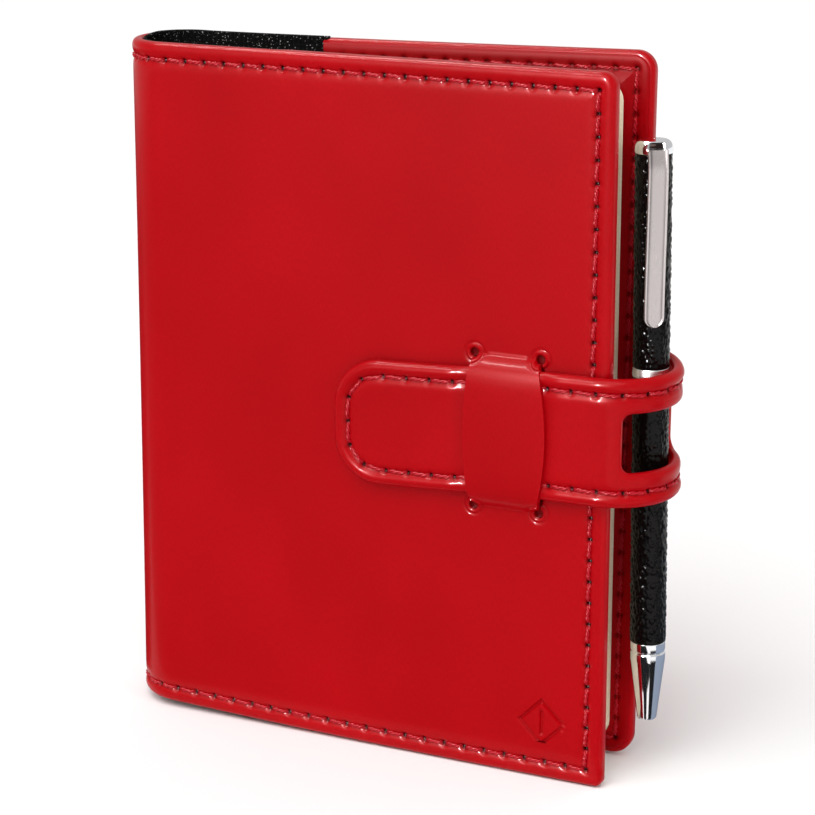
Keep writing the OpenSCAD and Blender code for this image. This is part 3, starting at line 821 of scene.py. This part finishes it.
def ply_thread(b, p0, p1, base, top, sign=1.0):
    """One stitch of twisted two-ply thread between two needle holes, in flat coordinates.

    base is the depth in the holes and top the depth at the middle, so a lower value stands prouder."""
    segs, sides, inset, slant, ply_gap = 15, 6, 0.34, 0.16, 0.2
    a, c = np.array(p0, float), np.array(p1, float)
    length = np.linalg.norm(c - a)
    run = (c - a) / length
    lat = np.array([-run[1], run[0]])
    a = a + run * inset
    length -= 2 * inset
    for ply in (0, 1):
        rings = []
        for i in range(segs + 1):
            t = i / segs
            p = a + run * length * t + lat * slant * math.sin(math.pi * 2 * t) * 0.5
            body = math.sin(min(1.0, 3.6 * min(t, 1 - t)) * math.pi / 2)
            ang = math.pi * ply + 2 * math.pi * 1.6 * t
            mid = p + lat * ply_gap * math.cos(ang)
            n = base + (top - base) * body + ply_gap * 0.7 * math.sin(ang) * sign
            ring = []
            for k in range(sides):
                w = 2 * math.pi * k / sides
                q = mid + lat * 0.29 * math.cos(w)
                ring.append((q[0], q[1], n + 0.2 * math.sin(w)))
            rings.append(b.add(ring))
        b.loft(rings, closed=True, capped=True)


def cover_stitches():
    """Stitches on both faces of both covers and round the spine."""
    def spans(run):
        return list(zip(run, run[1:]))

    rows = spans(HOLES[0]) + spans(HOLES[2])
    bend_end = PANEL_U - 2.0
    flat_rows = [(p, q) for p, q in rows if min(p[0], q[0]) > bend_end] + spans(HOLES[1])
    bend_rows = [(p, q) for p, q in rows if min(p[0], q[0]) <= bend_end]
    for label, mapping, body in COVERS:
        b = Builder()
        for p, q in flat_rows:
            ply_thread(b, p, q, *THREAD_OUT)
        dress(b.make(f"stitches_{label}", mapping, THREAD), body, "thread", f"{label}_stitching")
        b = Builder()
        for p, q in flat_rows:
            if min(p[0], q[0]) > POCKET_X + 2:
                ply_thread(b, p, q, *THREAD_IN)
        dress(b.make(f"stitches_inside_{label}", mapping, THREAD), body, "thread")
    for label, _, mapping, (a, c), s, e, node in SPINE_PARTS:
        b = Builder()
        for p, q in bend_rows:
            options = [(p, q)]
            if label == "middle":
                options.append([(2 * SPINE_MID_U - u, z) for u, z in (p, q)])
            for p1, q1 in options:
                if (label == "middle") == ((p1[0] + q1[0]) / 2 < ARC45_U):
                    ply_thread(b, p1, q1, *THREAD_OUT)
        o = b.make(f"stitches_spine_{label}", mapping, THREAD)
        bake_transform(o, a, c, start=s, end=e)
        if node:
            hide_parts(f"{node}_stitching")


# ------------------------------------------------------------------ inner pockets
POCKET_RIM = [  # (distance from the edge, depth below the outer face)
    (8.5, 4.6), (7.2, 4.57), (6.2, 4.42), (5.4, 4.15), (4.8, 3.86), (4.3, 3.62), (3.8, 3.5), (3.3, 3.56),
    (2.8, 3.7), (2.2, 3.78), (1.6, 3.74), (1.2, 3.64), (0.95, 3.5), (0.85, 3.3), (0.9, 3.05), (2.4, 2.95),
    (8.5, 3.7)]


def pocket(label, mapping, body):
    b = Builder()
    corners = FRONT_CORNERS if label == "front" else POCKET_CORNERS
    rings = []
    for d, n in POCKET_RIM:
        pairs = []
        for u, z in panel_path(d, POCKET_X, corners):
            pit, dark = pinch(u, z, d, COVER_BAND)
            pairs.append(((u, z, n - 0.7 * pit), dark))
        rings.append(b.add_pitted(pairs))
    b.loft(rings)
    inner = panel_path(POCKET_RIM[0][0], POCKET_X, corners)
    co, faces = fill([inner], grid_points(POCKET_X, COVER_W - FACE_IN, FACE_IN, COVER_H - FACE_IN, 4))
    outer_n, inner_n = POCKET_RIM[0][1], 3.72
    b.two_sides(b.add([(u, z, outer_n) for u, z in co]), b.add([(u, z, inner_n) for u, z in co]), faces)
    # folded mouth of the pocket
    half, mid_n = (outer_n - inner_n) / 2, (outer_n + inner_n) / 2
    zs = sorted([z for u, z in co if abs(u - POCKET_X) < 1e-3])
    turns = [math.pi * k / 6 for k in range(7)]
    b.loft([b.add([(POCKET_X - half * math.sin(a), z, mid_n + half * math.cos(a)) for z in zs]) for a in turns])
    dress(b.make(f"pocket_{label}", mapping, RED_IN_SHADED), body, "pocket_leather", f"{label}_pocket")


def leaned_plate(name, node, material, slot):
    """The flat plate of a back cover layer, bent to follow the cover's lean."""
    (u0, y0, z0), (u1, y1, z1) = local_box(node)
    n_out, n_in = THICK - y1, THICK - y0
    rows = steps(z0, z1, 6.0)
    b = Builder()
    loops = []
    for u in steps(u0, u1, 3.0):
        loops.append(b.add([(u, z, n_in) for z in rows] + [(u, z, n_out) for z in rows[::-1]]))
    b.loft(loops, closed=True, capped=True)
    dress(b.make(name, back_map, material, sharp=30), "back_cover", slot, node)


# ------------------------------------------------------------------ strap
S_FRONT = FOLD_X - STRAP_TIP
S_ARC = math.pi * FOLD_RM
S_MID = S_FRONT + S_ARC / 2
S_END = S_FRONT + S_ARC + TAIL_L
STRAP_RIM = [  # (distance from the edge, height above the strap's inner face)
    (6.0, 2.40), (5.2, 2.38), (4.6, 2.26), (4.1, 2.02), (3.75, 1.88), (3.5, 1.84), (3.25, 1.90), (2.9, 2.14),
    (2.45, 2.48), (1.9, 2.68), (1.35, 2.66), (0.85, 2.44), (0.45, 2.06), (0.16, 1.62), (0.02, 1.2), (0.1, 0.78),
    (0.35, 0.42), (0.8, 0.2), (1.6, 0.12), (6.0, 0.10)]
WINDOW_RIM = [(2.3, 2.40), (1.8, 2.47), (1.25, 2.46), (0.8, 2.34), (0.42, 2.05), (0.16, 1.66), (0.03, 1.22),
              (0.1, 0.8), (0.32, 0.44), (0.75, 0.2), (2.3, 0.10)]


def strap_map(s, z, h):
    """Flat strap coordinates to the row frame: a little tilted, and pressed flatter by the keeper."""
    off = abs(STRAP_TIP + s - KEEPER_X)
    h *= 1 - KEEPER_PRESS * (1 - smooth(KEEPER_HALF + 0.8, KEEPER_HALF + 5.5, off))
    z += TILT_TIP + TILT * smooth(0.0, S_FRONT, s)
    if s <= S_MID:
        return strap_plain(s, z, h)
    out, up = back_lean(FOLD_X - max(s - S_FRONT - S_ARC, 0.0), STRAP_Z + z)
    part = smooth(S_MID, S_FRONT + S_ARC, s)
    x, y, zz = strap_plain(s, z + up * part, h)
    return (x, y + out * part * MM, zz)


def strap_plain(s, z, h):
    """The strap without tilt: along the front cover, round the fore edge, along the back cover."""
    if s <= S_FRONT:
        return world(STRAP_TIP + s, -STRAP_GAP - h, STRAP_Z + z)
    if s <= S_FRONT + S_ARC:
        a = -math.pi / 2 + (s - S_FRONT) / FOLD_RM
        r = FOLD_RI + h
        return world(FOLD_X + r * math.cos(a), SPINE_R + r * math.sin(a), STRAP_Z + z)
    return world(FOLD_X - (s - S_FRONT - S_ARC), THICK + STRAP_GAP + h, STRAP_Z + z)


def round_loop(s0, s1, half, radii, d, step=EDGE_STEP):
    """Closed rounded rectangle at distance d inside its outline; radii are at the s0 and the s1 end."""
    corners = [(s1, -1, radii[1], -90), (s1, 1, radii[1], 0), (s0, 1, radii[0], 90), (s0, -1, radii[0], 180)]
    arcs = []
    for s, side, r, start in corners:
        c = max(r, d + LEAST)
        n = max(6, round(r * math.pi / 2 / step))
        arcs.append(quarter(s - c if s == s1 else s + c, side * (half - c), max(r - d, LEAST), start, n))
    pts = []
    for i, arc in enumerate(arcs):
        plain = (s1 - s0) - radii[0] - radii[1] if i % 2 else 2 * half - 2 * corners[i][2]
        n = max(1, round(plain / step))
        p, q = np.array(arc[-1]), np.array(arcs[(i + 1) % 4][0])
        pts += arc + [tuple(p + (q - p) * k / n) for k in range(1, n)]
    return pts


def strap_outline(d):
    return round_loop(0.0, S_END, STRAP_W / 2, STRAP_ENDS, d)


WINDOW_HALF_S = (WINDOW_TO - WINDOW_FROM) / 2 * FOLD_RM
WINDOW_MID = S_MID + (WINDOW_TO + WINDOW_FROM) / 2 * FOLD_RM
WINDOW_CORNER = 2.0


def window_ring(o):
    """The pen window's outline grown by o, with the same points for each o, so that the rings loft."""
    r = WINDOW_CORNER
    outline = round_loop(WINDOW_MID - WINDOW_HALF_S, WINDOW_MID + WINDOW_HALF_S, WINDOW_H / 2, (r, r), 0.0, 0.4)
    grown = []
    for s, z in outline:
        dx = max(abs(s - WINDOW_MID) - WINDOW_HALF_S + r, 0.0)
        dz = max(abs(z) - WINDOW_H / 2 + r, 0.0)
        far = math.hypot(dx, dz) or 1.0
        grown.append((s + math.copysign(o * dx / far, s - WINDOW_MID), z + math.copysign(o * dz / far, z)))
    return grown


def strap_hole_rows():
    """Needle holes along the strap's outline: front tip, both sides, tail end."""
    line = strap_outline(STRAP_STITCH)
    line.append(line[0])
    seg = [math.dist(p, q) for p, q in zip(line, line[1:])]
    count = round(sum(seg) / STRAP_PITCH)
    out, walk, i = [], 0.0, 0
    for k in range(count):
        target = sum(seg) * k / count
        while walk + seg[i] < target:
            walk += seg[i]
            i += 1
        t = (target - walk) / seg[i] if seg[i] else 0
        (x0, z0), (x1, z1) = line[i], line[i + 1]
        out.append((x0 + (x1 - x0) * t, z0 + (z1 - z0) * t))
    return out


def strap_body():
    """The whole strap's leather in flat coordinates."""
    b = Builder()
    holes = np.array(strap_hole_rows())
    rings = []
    for d, h in STRAP_RIM:
        pairs = []
        for s, z in strap_outline(d):
            pit, dark = pinch(s, z, d, (2.6, 4.7), holes, 0.55)
            sway = 0.05 * noise.noise(Vector((s * 0.22, z * 0.3, 8.0))) if 0.3 < d < 3 else 0.0
            pairs.append(((s, z, h - 0.7 * pit + sway), dark))
        rings.append(b.add_pitted(pairs))
    b.loft(rings, closed=True)
    b.loft([b.add([(s, z, h) for s, z in window_ring(o)]) for o, h in WINDOW_RIM], closed=True)
    inset, top_h, low_h = STRAP_RIM[0][0], STRAP_RIM[0][1], STRAP_RIM[-1][1]
    inner_w = STRAP_W / 2 - inset
    co, faces = fill([strap_outline(inset), window_ring(WINDOW_RIM[0][0])],
                     grid_points(inset, S_END - inset, -inner_w, inner_w, 0.8))
    top = []
    for s, z in co:
        clear = min(inner_w - abs(z), abs(s - WINDOW_MID) - WINDOW_HALF_S - WINDOW_RIM[0][0])
        top.append((s, z, top_h + 0.05 * noise.noise(Vector((s * 0.1, z * 0.15, 1.0))) * smooth(0, 3, clear)))
    b.two_sides(b.add(top), b.add([(s, z, low_h) for s, z in co]), faces)
    return b


CUTS = (S_FRONT - 4.0, S_MID, S_FRONT + S_ARC + 4.0)
STRAP_PARTS = [  # name, from s, to s, first part of the CAD nodes' names
    ("tongue", -1.0, CUTS[0], "strap_tongue"), ("fold_front", CUTS[0], CUTS[1], "strap_fold"),
    ("fold_back", CUTS[1], CUTS[2], None), ("tail", CUTS[2], S_END + 1.0, "strap_tail")]


def strap_dress(o, label, node):
    """Body and replaced node of one length of the strap; the fold's two lengths bend between bodies."""
    def middle(s):
        return strap_map(s, 0.0, 1.2)

    turn = math.radians(46) * FOLD_RM
    back = S_FRONT + S_ARC
    if label == "tongue":
        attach(o, "strap_tongue")
    elif label == "tail":
        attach(o, "back_cover")
    elif label == "fold_front":
        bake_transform(o, "strap_fold", "strap_tongue", start=middle(S_FRONT + turn), end=middle(S_FRONT))
    else:
        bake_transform(o, "strap_fold", "back_cover", start=middle(back - turn), end=middle(back))
    if node:
        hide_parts(node)


def strap_leather():
    """Cuts the strap's leather at three stations into the lengths that bend apart."""
    whole = strap_body()
    src = bpy.data.meshes.new("strap_src")
    src.from_pydata(whole.v, [], whole.f)
    src.validate()
    src.attributes.new("pit", "FLOAT", "POINT").data.foreach_set("value", whole.pit)
    bm = bmesh.new()
    bm.from_mesh(src)
    bmesh.ops.remove_doubles(bm, verts=bm.verts, dist=0.002)
    for cut in CUTS:
        bmesh.ops.bisect_plane(bm, geom=bm.verts[:] + bm.edges[:] + bm.faces[:], dist=1e-4,
                               plane_co=(cut, 0, 0), plane_no=(1, 0, 0))
    bm.verts.ensure_lookup_table()
    layer = bm.verts.layers.float["pit"]
    for label, s0, s1, node in STRAP_PARTS:
        index, v, pits, faces = {}, [], [], []
        for f in [f for f in bm.faces if s0 < f.calc_center_median().x < s1]:
            for vert in f.verts:
                if vert.index not in index:
                    index[vert.index] = len(v)
                    v.append(tuple(vert.co))
                    pits.append(vert[layer])
            faces.append([index[vert.index] for vert in f.verts])
        o = piece(f"strap_{label}", [strap_map(*p) for p in v], faces, RED, v, pits)
        strap_dress(o, label, node and f"{node}_outer")
    bm.free()


def strap_lining():
    """A thin sheet under the strap's leather, in the same lengths."""
    for label, s0, s1, node in STRAP_PARTS:
        lo_s, hi_s = max(s0, 0.0), min(s1, S_END)
        inner = [(s, z) for s in steps(2, S_END - 2, 0.8) for z in (-9.5, -6, -3, 0, 3, 6, 9.5)]
        inner += [(s, z) for s in (lo_s, hi_s) for z in np.linspace(-12, 12, 15)]
        co, faces = fill([strap_outline(1.5), window_ring(1.0)], inner)
        chosen = [f for f in faces if lo_s - 1e-6 <= co[f].mean(axis=0)[0] <= hi_s + 1e-6]
        used = sorted({i for f in chosen for i in f})
        flat = [(min(max(co[i][0], lo_s), hi_s), co[i][1]) for i in used]
        b = Builder()
        top = dict(zip(used, b.add([(s, z, 0.12) for s, z in flat])))
        low = dict(zip(used, b.add([(s, z, -0.10) for s, z in flat])))
        border = {}
        for f in chosen:
            b.f.append([top[i] for i in f])
            b.f.append([low[i] for i in f][::-1])
            for e in zip(f, f[1:] + f[:1]):
                border.setdefault(tuple(sorted(e)), []).append(e)
        for es in border.values():
            if len(es) == 1:
                i, j = es[0]
                b.f.append([top[j], top[i], low[i], low[j]])
        o = b.make(f"strap_lining_{label}", strap_map, RED_IN_SHADED)
        strap_dress(o, label, node and f"{node}_lining")


def strap_thread():
    row = strap_hole_rows()
    for label, s0, s1, node in STRAP_PARTS:
        b = Builder()
        for p, q in zip(row, row[1:] + row[:1]):
            if s0 <= (p[0] + q[0]) / 2 < s1:
                ply_thread(b, p, q, *THREAD_STRAP)
        o = b.make(f"strap_thread_{label}", strap_map, THREAD)
        strap_dress(o, label, node and f"{node}_stitching")


# ------------------------------------------------------------------ pages
PAGE_LO, PAGE_HI = local_box("front_pages")


def leaf_outline(x1, z0, z1, r=4.0):
    """A leaf from the spine edge to x1, with its two fore-edge corners rounded."""
    x0 = PAGE_LO[0]
    return [(x0, z0)] + quarter(x1 - r, z0 + r, r, -90, 6) + quarter(x1 - r, z1 - r, r, 0, 6) + [(x0, z1)]


def pages(label, mapping, body):
    """A half block of loose-edged leaves."""
    b = Builder()
    leaves = 34
    pitch = (PAGE_HI[1] - PAGE_LO[1]) / leaves
    for k in range(leaves):
        n0 = PAGE_LO[1] + pitch * k
        n1 = n0 + pitch * 0.86
        ragged, low, high = rng.uniform(-0.16, 0.04), rng.uniform(-0.05, 0.1), rng.uniform(-0.05, 0.1)
        out = leaf_outline(PAGE_HI[0] + ragged, PAGE_LO[2] + low, PAGE_HI[2] - high)
        ruled = [1.0 if k == leaves - 1 else 0.0] * len(out)
        b.loft([b.add([(x, z, n0) for x, z in out]), b.add([(x, z, n1) for x, z in out], ruled)], True, True)
    dress(b.make(f"pages_{label}", mapping, PAPER, sharp=30), body, "paper", f"{label}_pages")


def flat_front(u, z, n):
    return world(u, n, z)


def flat_back(u, z, n):
    return world(u, THICK - n, z)


# ------------------------------------------------------------------ pen
def pen_matrix():
    """The pen's own frame: z up its axis, origin at the tip's height."""
    z = PEN_AXIS
    x = Vector((1, 0, 0))
    x = (x - z * x.dot(z)).normalized()
    m = Matrix((x, z.cross(x), z)).transposed().to_4x4()
    m.translation = PEN_POINT - z * ((PEN_POINT.z - PEN_TIP * MM) / z.z)
    return m


PEN_M = pen_matrix()


def pen_point(x, y, z):
    """Pen coordinates in millimetres, z up from the tip, to the row frame."""
    return tuple(PEN_M @ Vector((x * MM, y * MM, z * MM)))


def tube_faces(rows, sides):
    """Quads between neighbouring rings of points that were laid down ring by ring."""
    f = []
    for k in range(rows - 1):
        for i in range(sides):
            j = (i + 1) % sides
            f.append([k * sides + i, k * sides + j, (k + 1) * sides + j, (k + 1) * sides + i])
    return f


def lathe(name, profile, material, notch=None):
    """Turns a closed (radius, z) profile round the pen's axis."""
    sides, n = 120, len(profile)
    v, f, flat, shade = [], [], [], []
    for i in range(sides):
        a = 2 * math.pi * i / sides
        for r, z in profile:
            cut = notch(a, z) if notch else 0.0
            rr = max(r - 0.7 * cut, min(r, LEAST))
            v.append(pen_point(rr * math.cos(a), rr * math.sin(a), z))
            flat.append((a * r, z, 0.0))
            shade.append(cut)
    for i in range(sides):
        j = (i + 1) % sides
        for k in range(n):
            m = (k + 1) % n
            f.append([i * n + k, j * n + k, j * n + m, i * n + m])
    return piece(name, v, f, material, flat, shade, 40)


def rounded(points, radius=0.18, n=4):
    """Rounds a closed profile's corners, except those on the axis."""
    out = []
    m = len(points)
    for i in range(m):
        p0, p, p1 = (np.array(points[(i + k) % m], float) for k in (-1, 0, 1))
        before, after = np.linalg.norm(p0 - p), np.linalg.norm(p1 - p)
        if min(before, after) < 1e-6 or p[0] < 1e-6:
            out.append(tuple(p))
            continue
        cut = min(radius, before * 0.45, after * 0.45)
        a, c = p + (p0 - p) / before * cut, p + (p1 - p) / after * cut
        for k in range(n + 1):
            t = k / n
            out.append(tuple((1 - t) ** 2 * a + 2 * t * (1 - t) * p + t * t * c))
    return out


def pebble(a, z, seed):
    """Height of the embossed pen leather: ridged scales in slanting rows, 0 to 1."""
    p = Vector((math.cos(a) * 3.1, math.sin(a) * 3.1, z * 0.78 + math.sin(a) * 0.8 + seed))
    d = noise.voronoi(p, distance_metric="DISTANCE")[0]
    crease = min(1.0, (d[1] - d[0]) * 2.4)
    fine = 0.5 + 0.5 * noise.noise(Vector((math.cos(a) * 7, math.sin(a) * 7, z * 1.9 + seed)))
    return crease * 0.75 + fine * 0.25


def wrap(name, z0, z1, seed, body, node):
    """Leather sleeve on the barrel with embossed relief and a turned-in end."""
    sides, v, flat = 132, [], []
    low_end = [(PEN_R - 0.45, z0, False), (PEN_R - 0.12, z0 + 0.01, False)]
    top_end = [(PEN_R - 0.12, z1 - 0.01, False), (PEN_R - 0.45, z1, False)]
    rows = low_end + [(PEN_R, z, True) for z in steps(z0, z1, 0.3)] + top_end
    for r, z, embossed in rows:
        edge = smooth(0, 0.8, min(z - z0, z1 - z))
        for i in range(sides):
            a = 2 * math.pi * i / sides
            rr = r + (0.30 * (pebble(a, z, seed) - 0.7) * edge - 0.06 * (1 - edge) if embossed else 0.0)
            v.append(pen_point(rr * math.cos(a), rr * math.sin(a), z))
            flat.append((a * PEN_R, z, 0.0))
    f = tube_faces(len(rows), sides)
    last = (len(rows) - 1) * sides
    f += [[i, last + i, last + (i + 1) % sides, (i + 1) % sides] for i in range(sides)]
    dress(piece(name, v, f, PEN_LEATHER, flat), body, "pen_leather", node)


CLIP_TOP, CLIP_END, CLIP_HALF, CLIP_ROUND = 127.6, 89.8, 2.15, 2.2
CLIP_SECTION = [  # (share of the half width, height over the blade's middle), once round; grooves at 4 to 8
    (-1, -0.30), (-1, 0.18), (-0.94, 0.34), (-0.84, 0.36), (-0.74, 0.24), (-0.5, 0.20), (0, 0.24), (0.5, 0.20),
    (0.74, 0.24), (0.84, 0.36), (0.94, 0.34), (1, 0.18), (1, -0.30), (0.8, -0.34), (0, -0.30), (-0.8, -0.34)]
CLIP_SHADE = {4: 0.75, 5: 0.15, 6: 0.15, 7: 0.15, 8: 0.75}
BEAD_R = 0.75


def clip_blade():
    """Sprung clip blade with rolled sides and a rounded lower end."""
    v, shade = [], []
    zs = steps(CLIP_TOP, CLIP_END + CLIP_ROUND, 0.8)
    zs += [CLIP_END + CLIP_ROUND * (1 - math.sin(math.radians(a))) for a in range(9, 91, 9)]
    turn = Matrix.Rotation(CLIP_TURN, 3, "Z")
    for z in zs:
        into_end = max((CLIP_END + CLIP_ROUND - z) / CLIP_ROUND, 0.0)
        half = max(CLIP_HALF * math.sqrt(max(1 - into_end ** 2, 0.0)), 0.12)
        out = PEN_R + 1.05 + 0.45 * smooth(CLIP_TOP, CLIP_TOP - 4, z) - 0.2 * smooth(CLIP_TOP - 20, CLIP_END, z)
        if z > CLIP_TOP - 1.2:
            out -= 0.35 * smooth(CLIP_TOP - 1.2, CLIP_TOP, z)
        slide = -0.55 * smooth(CLIP_TOP, CLIP_END, z)
        for k, (x, y) in enumerate(CLIP_SECTION):
            p = turn @ Vector((x * half + slide, -(out + y), 0))
            v.append(pen_point(p.x, p.y, z))
            shade.append(CLIP_SHADE.get(k, 0.0))
    sides = len(CLIP_SECTION)
    f = tube_faces(len(zs), sides)
    f.append(list(range(sides)))
    f.append(list(range(len(v) - sides, len(v)))[::-1])
    dress(piece("pen_clip_blade", v, f, CLIP_METAL, None, shade, 35), "pen_upper", "pen_chrome", "pen_clip")


def clip_bead():
    """The bead under the clip that bears on the barrel."""
    v = []
    base = Matrix.Rotation(CLIP_TURN, 3, "Z") @ Vector((-0.5, -(PEN_R + 0.55), 0))
    for i in range(13):
        th = math.pi * i / 12
        for j in range(20):
            ph = 2 * math.pi * j / 20
            x, y, z = math.sin(th) * math.cos(ph), math.sin(th) * math.sin(ph), math.cos(th)
            v.append(pen_point(base.x + BEAD_R * x, base.y + BEAD_R * y, CLIP_END + 2.6 + BEAD_R * z))
    dress(piece("pen_clip_bead", v, tube_faces(13, 20), CHROME), "pen_upper", "pen_chrome")


def clip_slot(a, z):
    """The slot in the cap that the clip comes out of, 0 to 1."""
    turn = math.degrees((a - (CLIP_TURN - math.pi / 2) + math.pi) % (2 * math.pi) - math.pi)
    return (1 - smooth(24, 31, abs(turn))) * smooth(127.3, 127.7, z) * (1 - smooth(128.6, 129.0, z))


def pen():
    """Nose, centre ring and cap turned from their profiles, two leather sleeves and the clip."""
    nose = rounded([(1.25, -0.9), (1.9, -0.9), (2.15, -0.5), (3.80, 12.8), (3.87, 13.3), (3.87, 14.9),
                    (3.68, 15.1), (3.68, 15.4), (3.87, 15.6), (3.87, 17.55), (3.0, 17.55), (3.0, 12.0),
                    (1.25, 3.0)], 0.16)
    dress(lathe("pen_nose_cone", nose, CHROME), "pen_lower", "pen_chrome", "pen_nose")
    ring = rounded([(3.2, 77.95), (PEN_R + 0.08, 77.95), (PEN_R + 0.14, 78.4), (PEN_R - 0.06, 80.0),
                    (3.2, 80.0)], 0.2)
    dress(lathe("pen_centre_band", ring, BAND_METAL), "pen_upper", "pen_chrome", "pen_ring")
    cap = rounded([(1.0, 126.3), (PEN_R + 0.04, 126.3), (PEN_R + 0.04, 127.2), (PEN_R + 0.02, 127.7),
                   (PEN_R - 0.12, 128.2), (PEN_R - 0.45, 128.75), (PEN_R - 1.0, 129.15), (0.02, 129.35),
                   (0.02, 126.3)], 0.3, 6)
    dress(lathe("pen_cap_dome", cap, CHROME, clip_slot), "pen_upper", "pen_chrome", "pen_cap")
    wrap("pen_wrap_lower", 17.62, 77.85, 1.7, "pen_lower", "pen_lower_wrap")
    wrap("pen_wrap_upper", 80.05, 126.25, 21.3, "pen_upper", "pen_upper_wrap")
    clip_blade()
    clip_bead()


# ------------------------------------------------------------------ build
cover_panel(True)
cover_panel(False)
spine_all()
cover_stitches()
for cover in COVERS:
    pocket(*cover)
leaned_plate("board_back", "back_board", BOARD, "board")
leaned_plate("card_back", "back_card", CARD, "card")
strap_leather()
strap_lining()
strap_thread()
pages("front", flat_front, "front_pages")
pages("back", flat_back, "back_cover")
pen()

for node_name, material in (
        ("front_board", BOARD), ("front_card", CARD), ("book_spine_front", CARD), ("book_spine_back", CARD),
        ("pen_lower_tube", BRASS), ("pen_upper_tube", BRASS), ("twist_cam", PLASTIC), ("refill_tube", PLASTIC),
        ("refill_tip", BRASS)):
    o = frame["nodes"][node_name]
    o.data.materials.clear()
    o.data.materials.append(material)

# ------------------------------------------------------------------ floor, light, camera
scene = bpy.context.scene
scene.view_settings.view_transform = "Standard"
w = bpy.data.worlds.new("studio")
scene.world = w
w.use_nodes = True
bg = w.node_tree.nodes["Background"]
bg.inputs["Color"].default_value = (1.0, 0.99, 0.98, 1)
bg.inputs["Strength"].default_value = 0.6

floor_mat = Net("floor_pale", (0.93, 0.93, 0.93), 0.95, Specular_IOR_Level=0.1).material
me = bpy.data.meshes.new("floor")
S = 6.0
me.from_pydata([(-S, -S, 0), (S, -S, 0), (S, S, 0), (-S, S, 0)], [], [(0, 1, 2, 3)])
me.materials.append(floor_mat)
floor = bpy.data.objects.new("floor", me)
floor.location = (0, 0, -0.0002)
scene.collection.objects.link(floor)


def area(name, loc, target, size, power, gloss_only):
    """A soft lamp that only the gloss sees, or that everything but the gloss sees."""
    d = bpy.data.lights.new(name, "AREA")
    d.shape = "RECTANGLE"
    d.size, d.size_y = size
    d.energy = power
    o = bpy.data.objects.new(name, d)
    o.location = loc
    o.rotation_euler = (Vector(target) - Vector(loc)).to_track_quat("-Z", "Y").to_euler()
    o.visible_diffuse = not gloss_only
    o.visible_glossy = gloss_only
    scene.collection.objects.link(o)


sun = bpy.data.lights.new("sun", "SUN")
sun.energy = 1.9
sun.angle = math.radians(50)
sun_o = bpy.data.objects.new("sun", sun)
sun_o.rotation_euler = Vector((0.05, 0.68, -1.10)).to_track_quat("-Z", "Y").to_euler()
scene.collection.objects.link(sun_o)
BLACK = Net("flag_black", (0.012, 0.012, 0.013), 0.9, Specular_IOR_Level=0.0).material


def flag(name, pts, card=BLACK):
    """A studio card, out of the camera's sight, that the polished surfaces mirror; black unless told."""
    mesh = bpy.data.meshes.new(name)
    mesh.from_pydata(pts, [], [list(range(len(pts)))])
    mesh.materials.append(card)
    o = bpy.data.objects.new(name, mesh)
    scene.collection.objects.link(o)
    o.visible_camera = o.visible_diffuse = o.visible_shadow = o.visible_transmission = False


def fan(name, from_deg, to_deg, near, far, card=BLACK):
    """A sector of floor card seen from the pen, by compass angle from straight ahead of the front cover."""
    turns = [math.radians(from_deg + (to_deg - from_deg) * i / 12) for i in range(13)]
    ring = [(near, a) for a in turns] + [(far, a) for a in turns[::-1]]
    flag(name, [(PEN_POINT.x + r * math.sin(a), PEN_POINT.y - r * math.cos(a), 0.0006) for r, a in ring], card)


fan("flag_left", -9, 20, 0.004, 0.08)
fan("flag_right", 40, 76, 0.004, 0.08)
fan("flag_band", 84, 110, 0.14, 0.9)
BLUE_GREY = Net("card_blue_grey", (0.26, 0.31, 0.40), 0.9, Specular_IOR_Level=0.0).material
fan("card_side", 76, 200, 0.004, 0.14, BLUE_GREY)
CARD_Z = 0.0008
FAR = 0.9
flag("flag_spine", [(-FAR, Y0 + 0.004, CARD_Z), (X0 - 0.012, Y0 + 0.004, CARD_Z), (X0 - 0.012, FAR, CARD_Z),
                    (-FAR, FAR, CARD_Z)])
flag("flag_front", [(-FAR, -1.4, CARD_Z), (0.085, -1.4, CARD_Z), (0.085, Y0 - 0.012, CARD_Z),
                    (-FAR, Y0 - 0.012, CARD_Z)])

area("over", (-0.42, 0.16, 0.95), (0, 0, 0.12), (0.5, 0.10), 6.5, True)
area("left", (-0.75, -0.35, 0.35), (0, 0, 0.08), (0.12, 0.5), 1.0, False)
area("right", (0.75, -0.25, 0.35), (0.03, 0, 0.08), (0.12, 0.5), 0.9, False)
area("glint", (-0.09, -0.86, 0.42), (0.06, 0, 0.09), (0.05, 0.35), 36.0, True)
area("streak", (-0.44, -0.44, 0.97), (0, 0, 0.12), (0.5, 0.07), 7.0, True)

cam_data = bpy.data.cameras.new("camera")
cam = bpy.data.objects.new("camera", cam_data)
scene.collection.objects.link(cam)
scene.camera = cam
AZ, EL = math.radians(25.7), math.radians(15.7)
cam_data.sensor_width = 36.0
cam_data.lens = 113.345
cam_data.clip_start = 0.05
cam.location = world(307.9, -488.2, 233.9)
view_dir = Vector((-math.sin(AZ) * math.cos(EL), math.cos(AZ) * math.cos(EL), -math.sin(EL)))
cam.rotation_euler = view_dir.to_track_quat("-Z", "Y").to_euler()
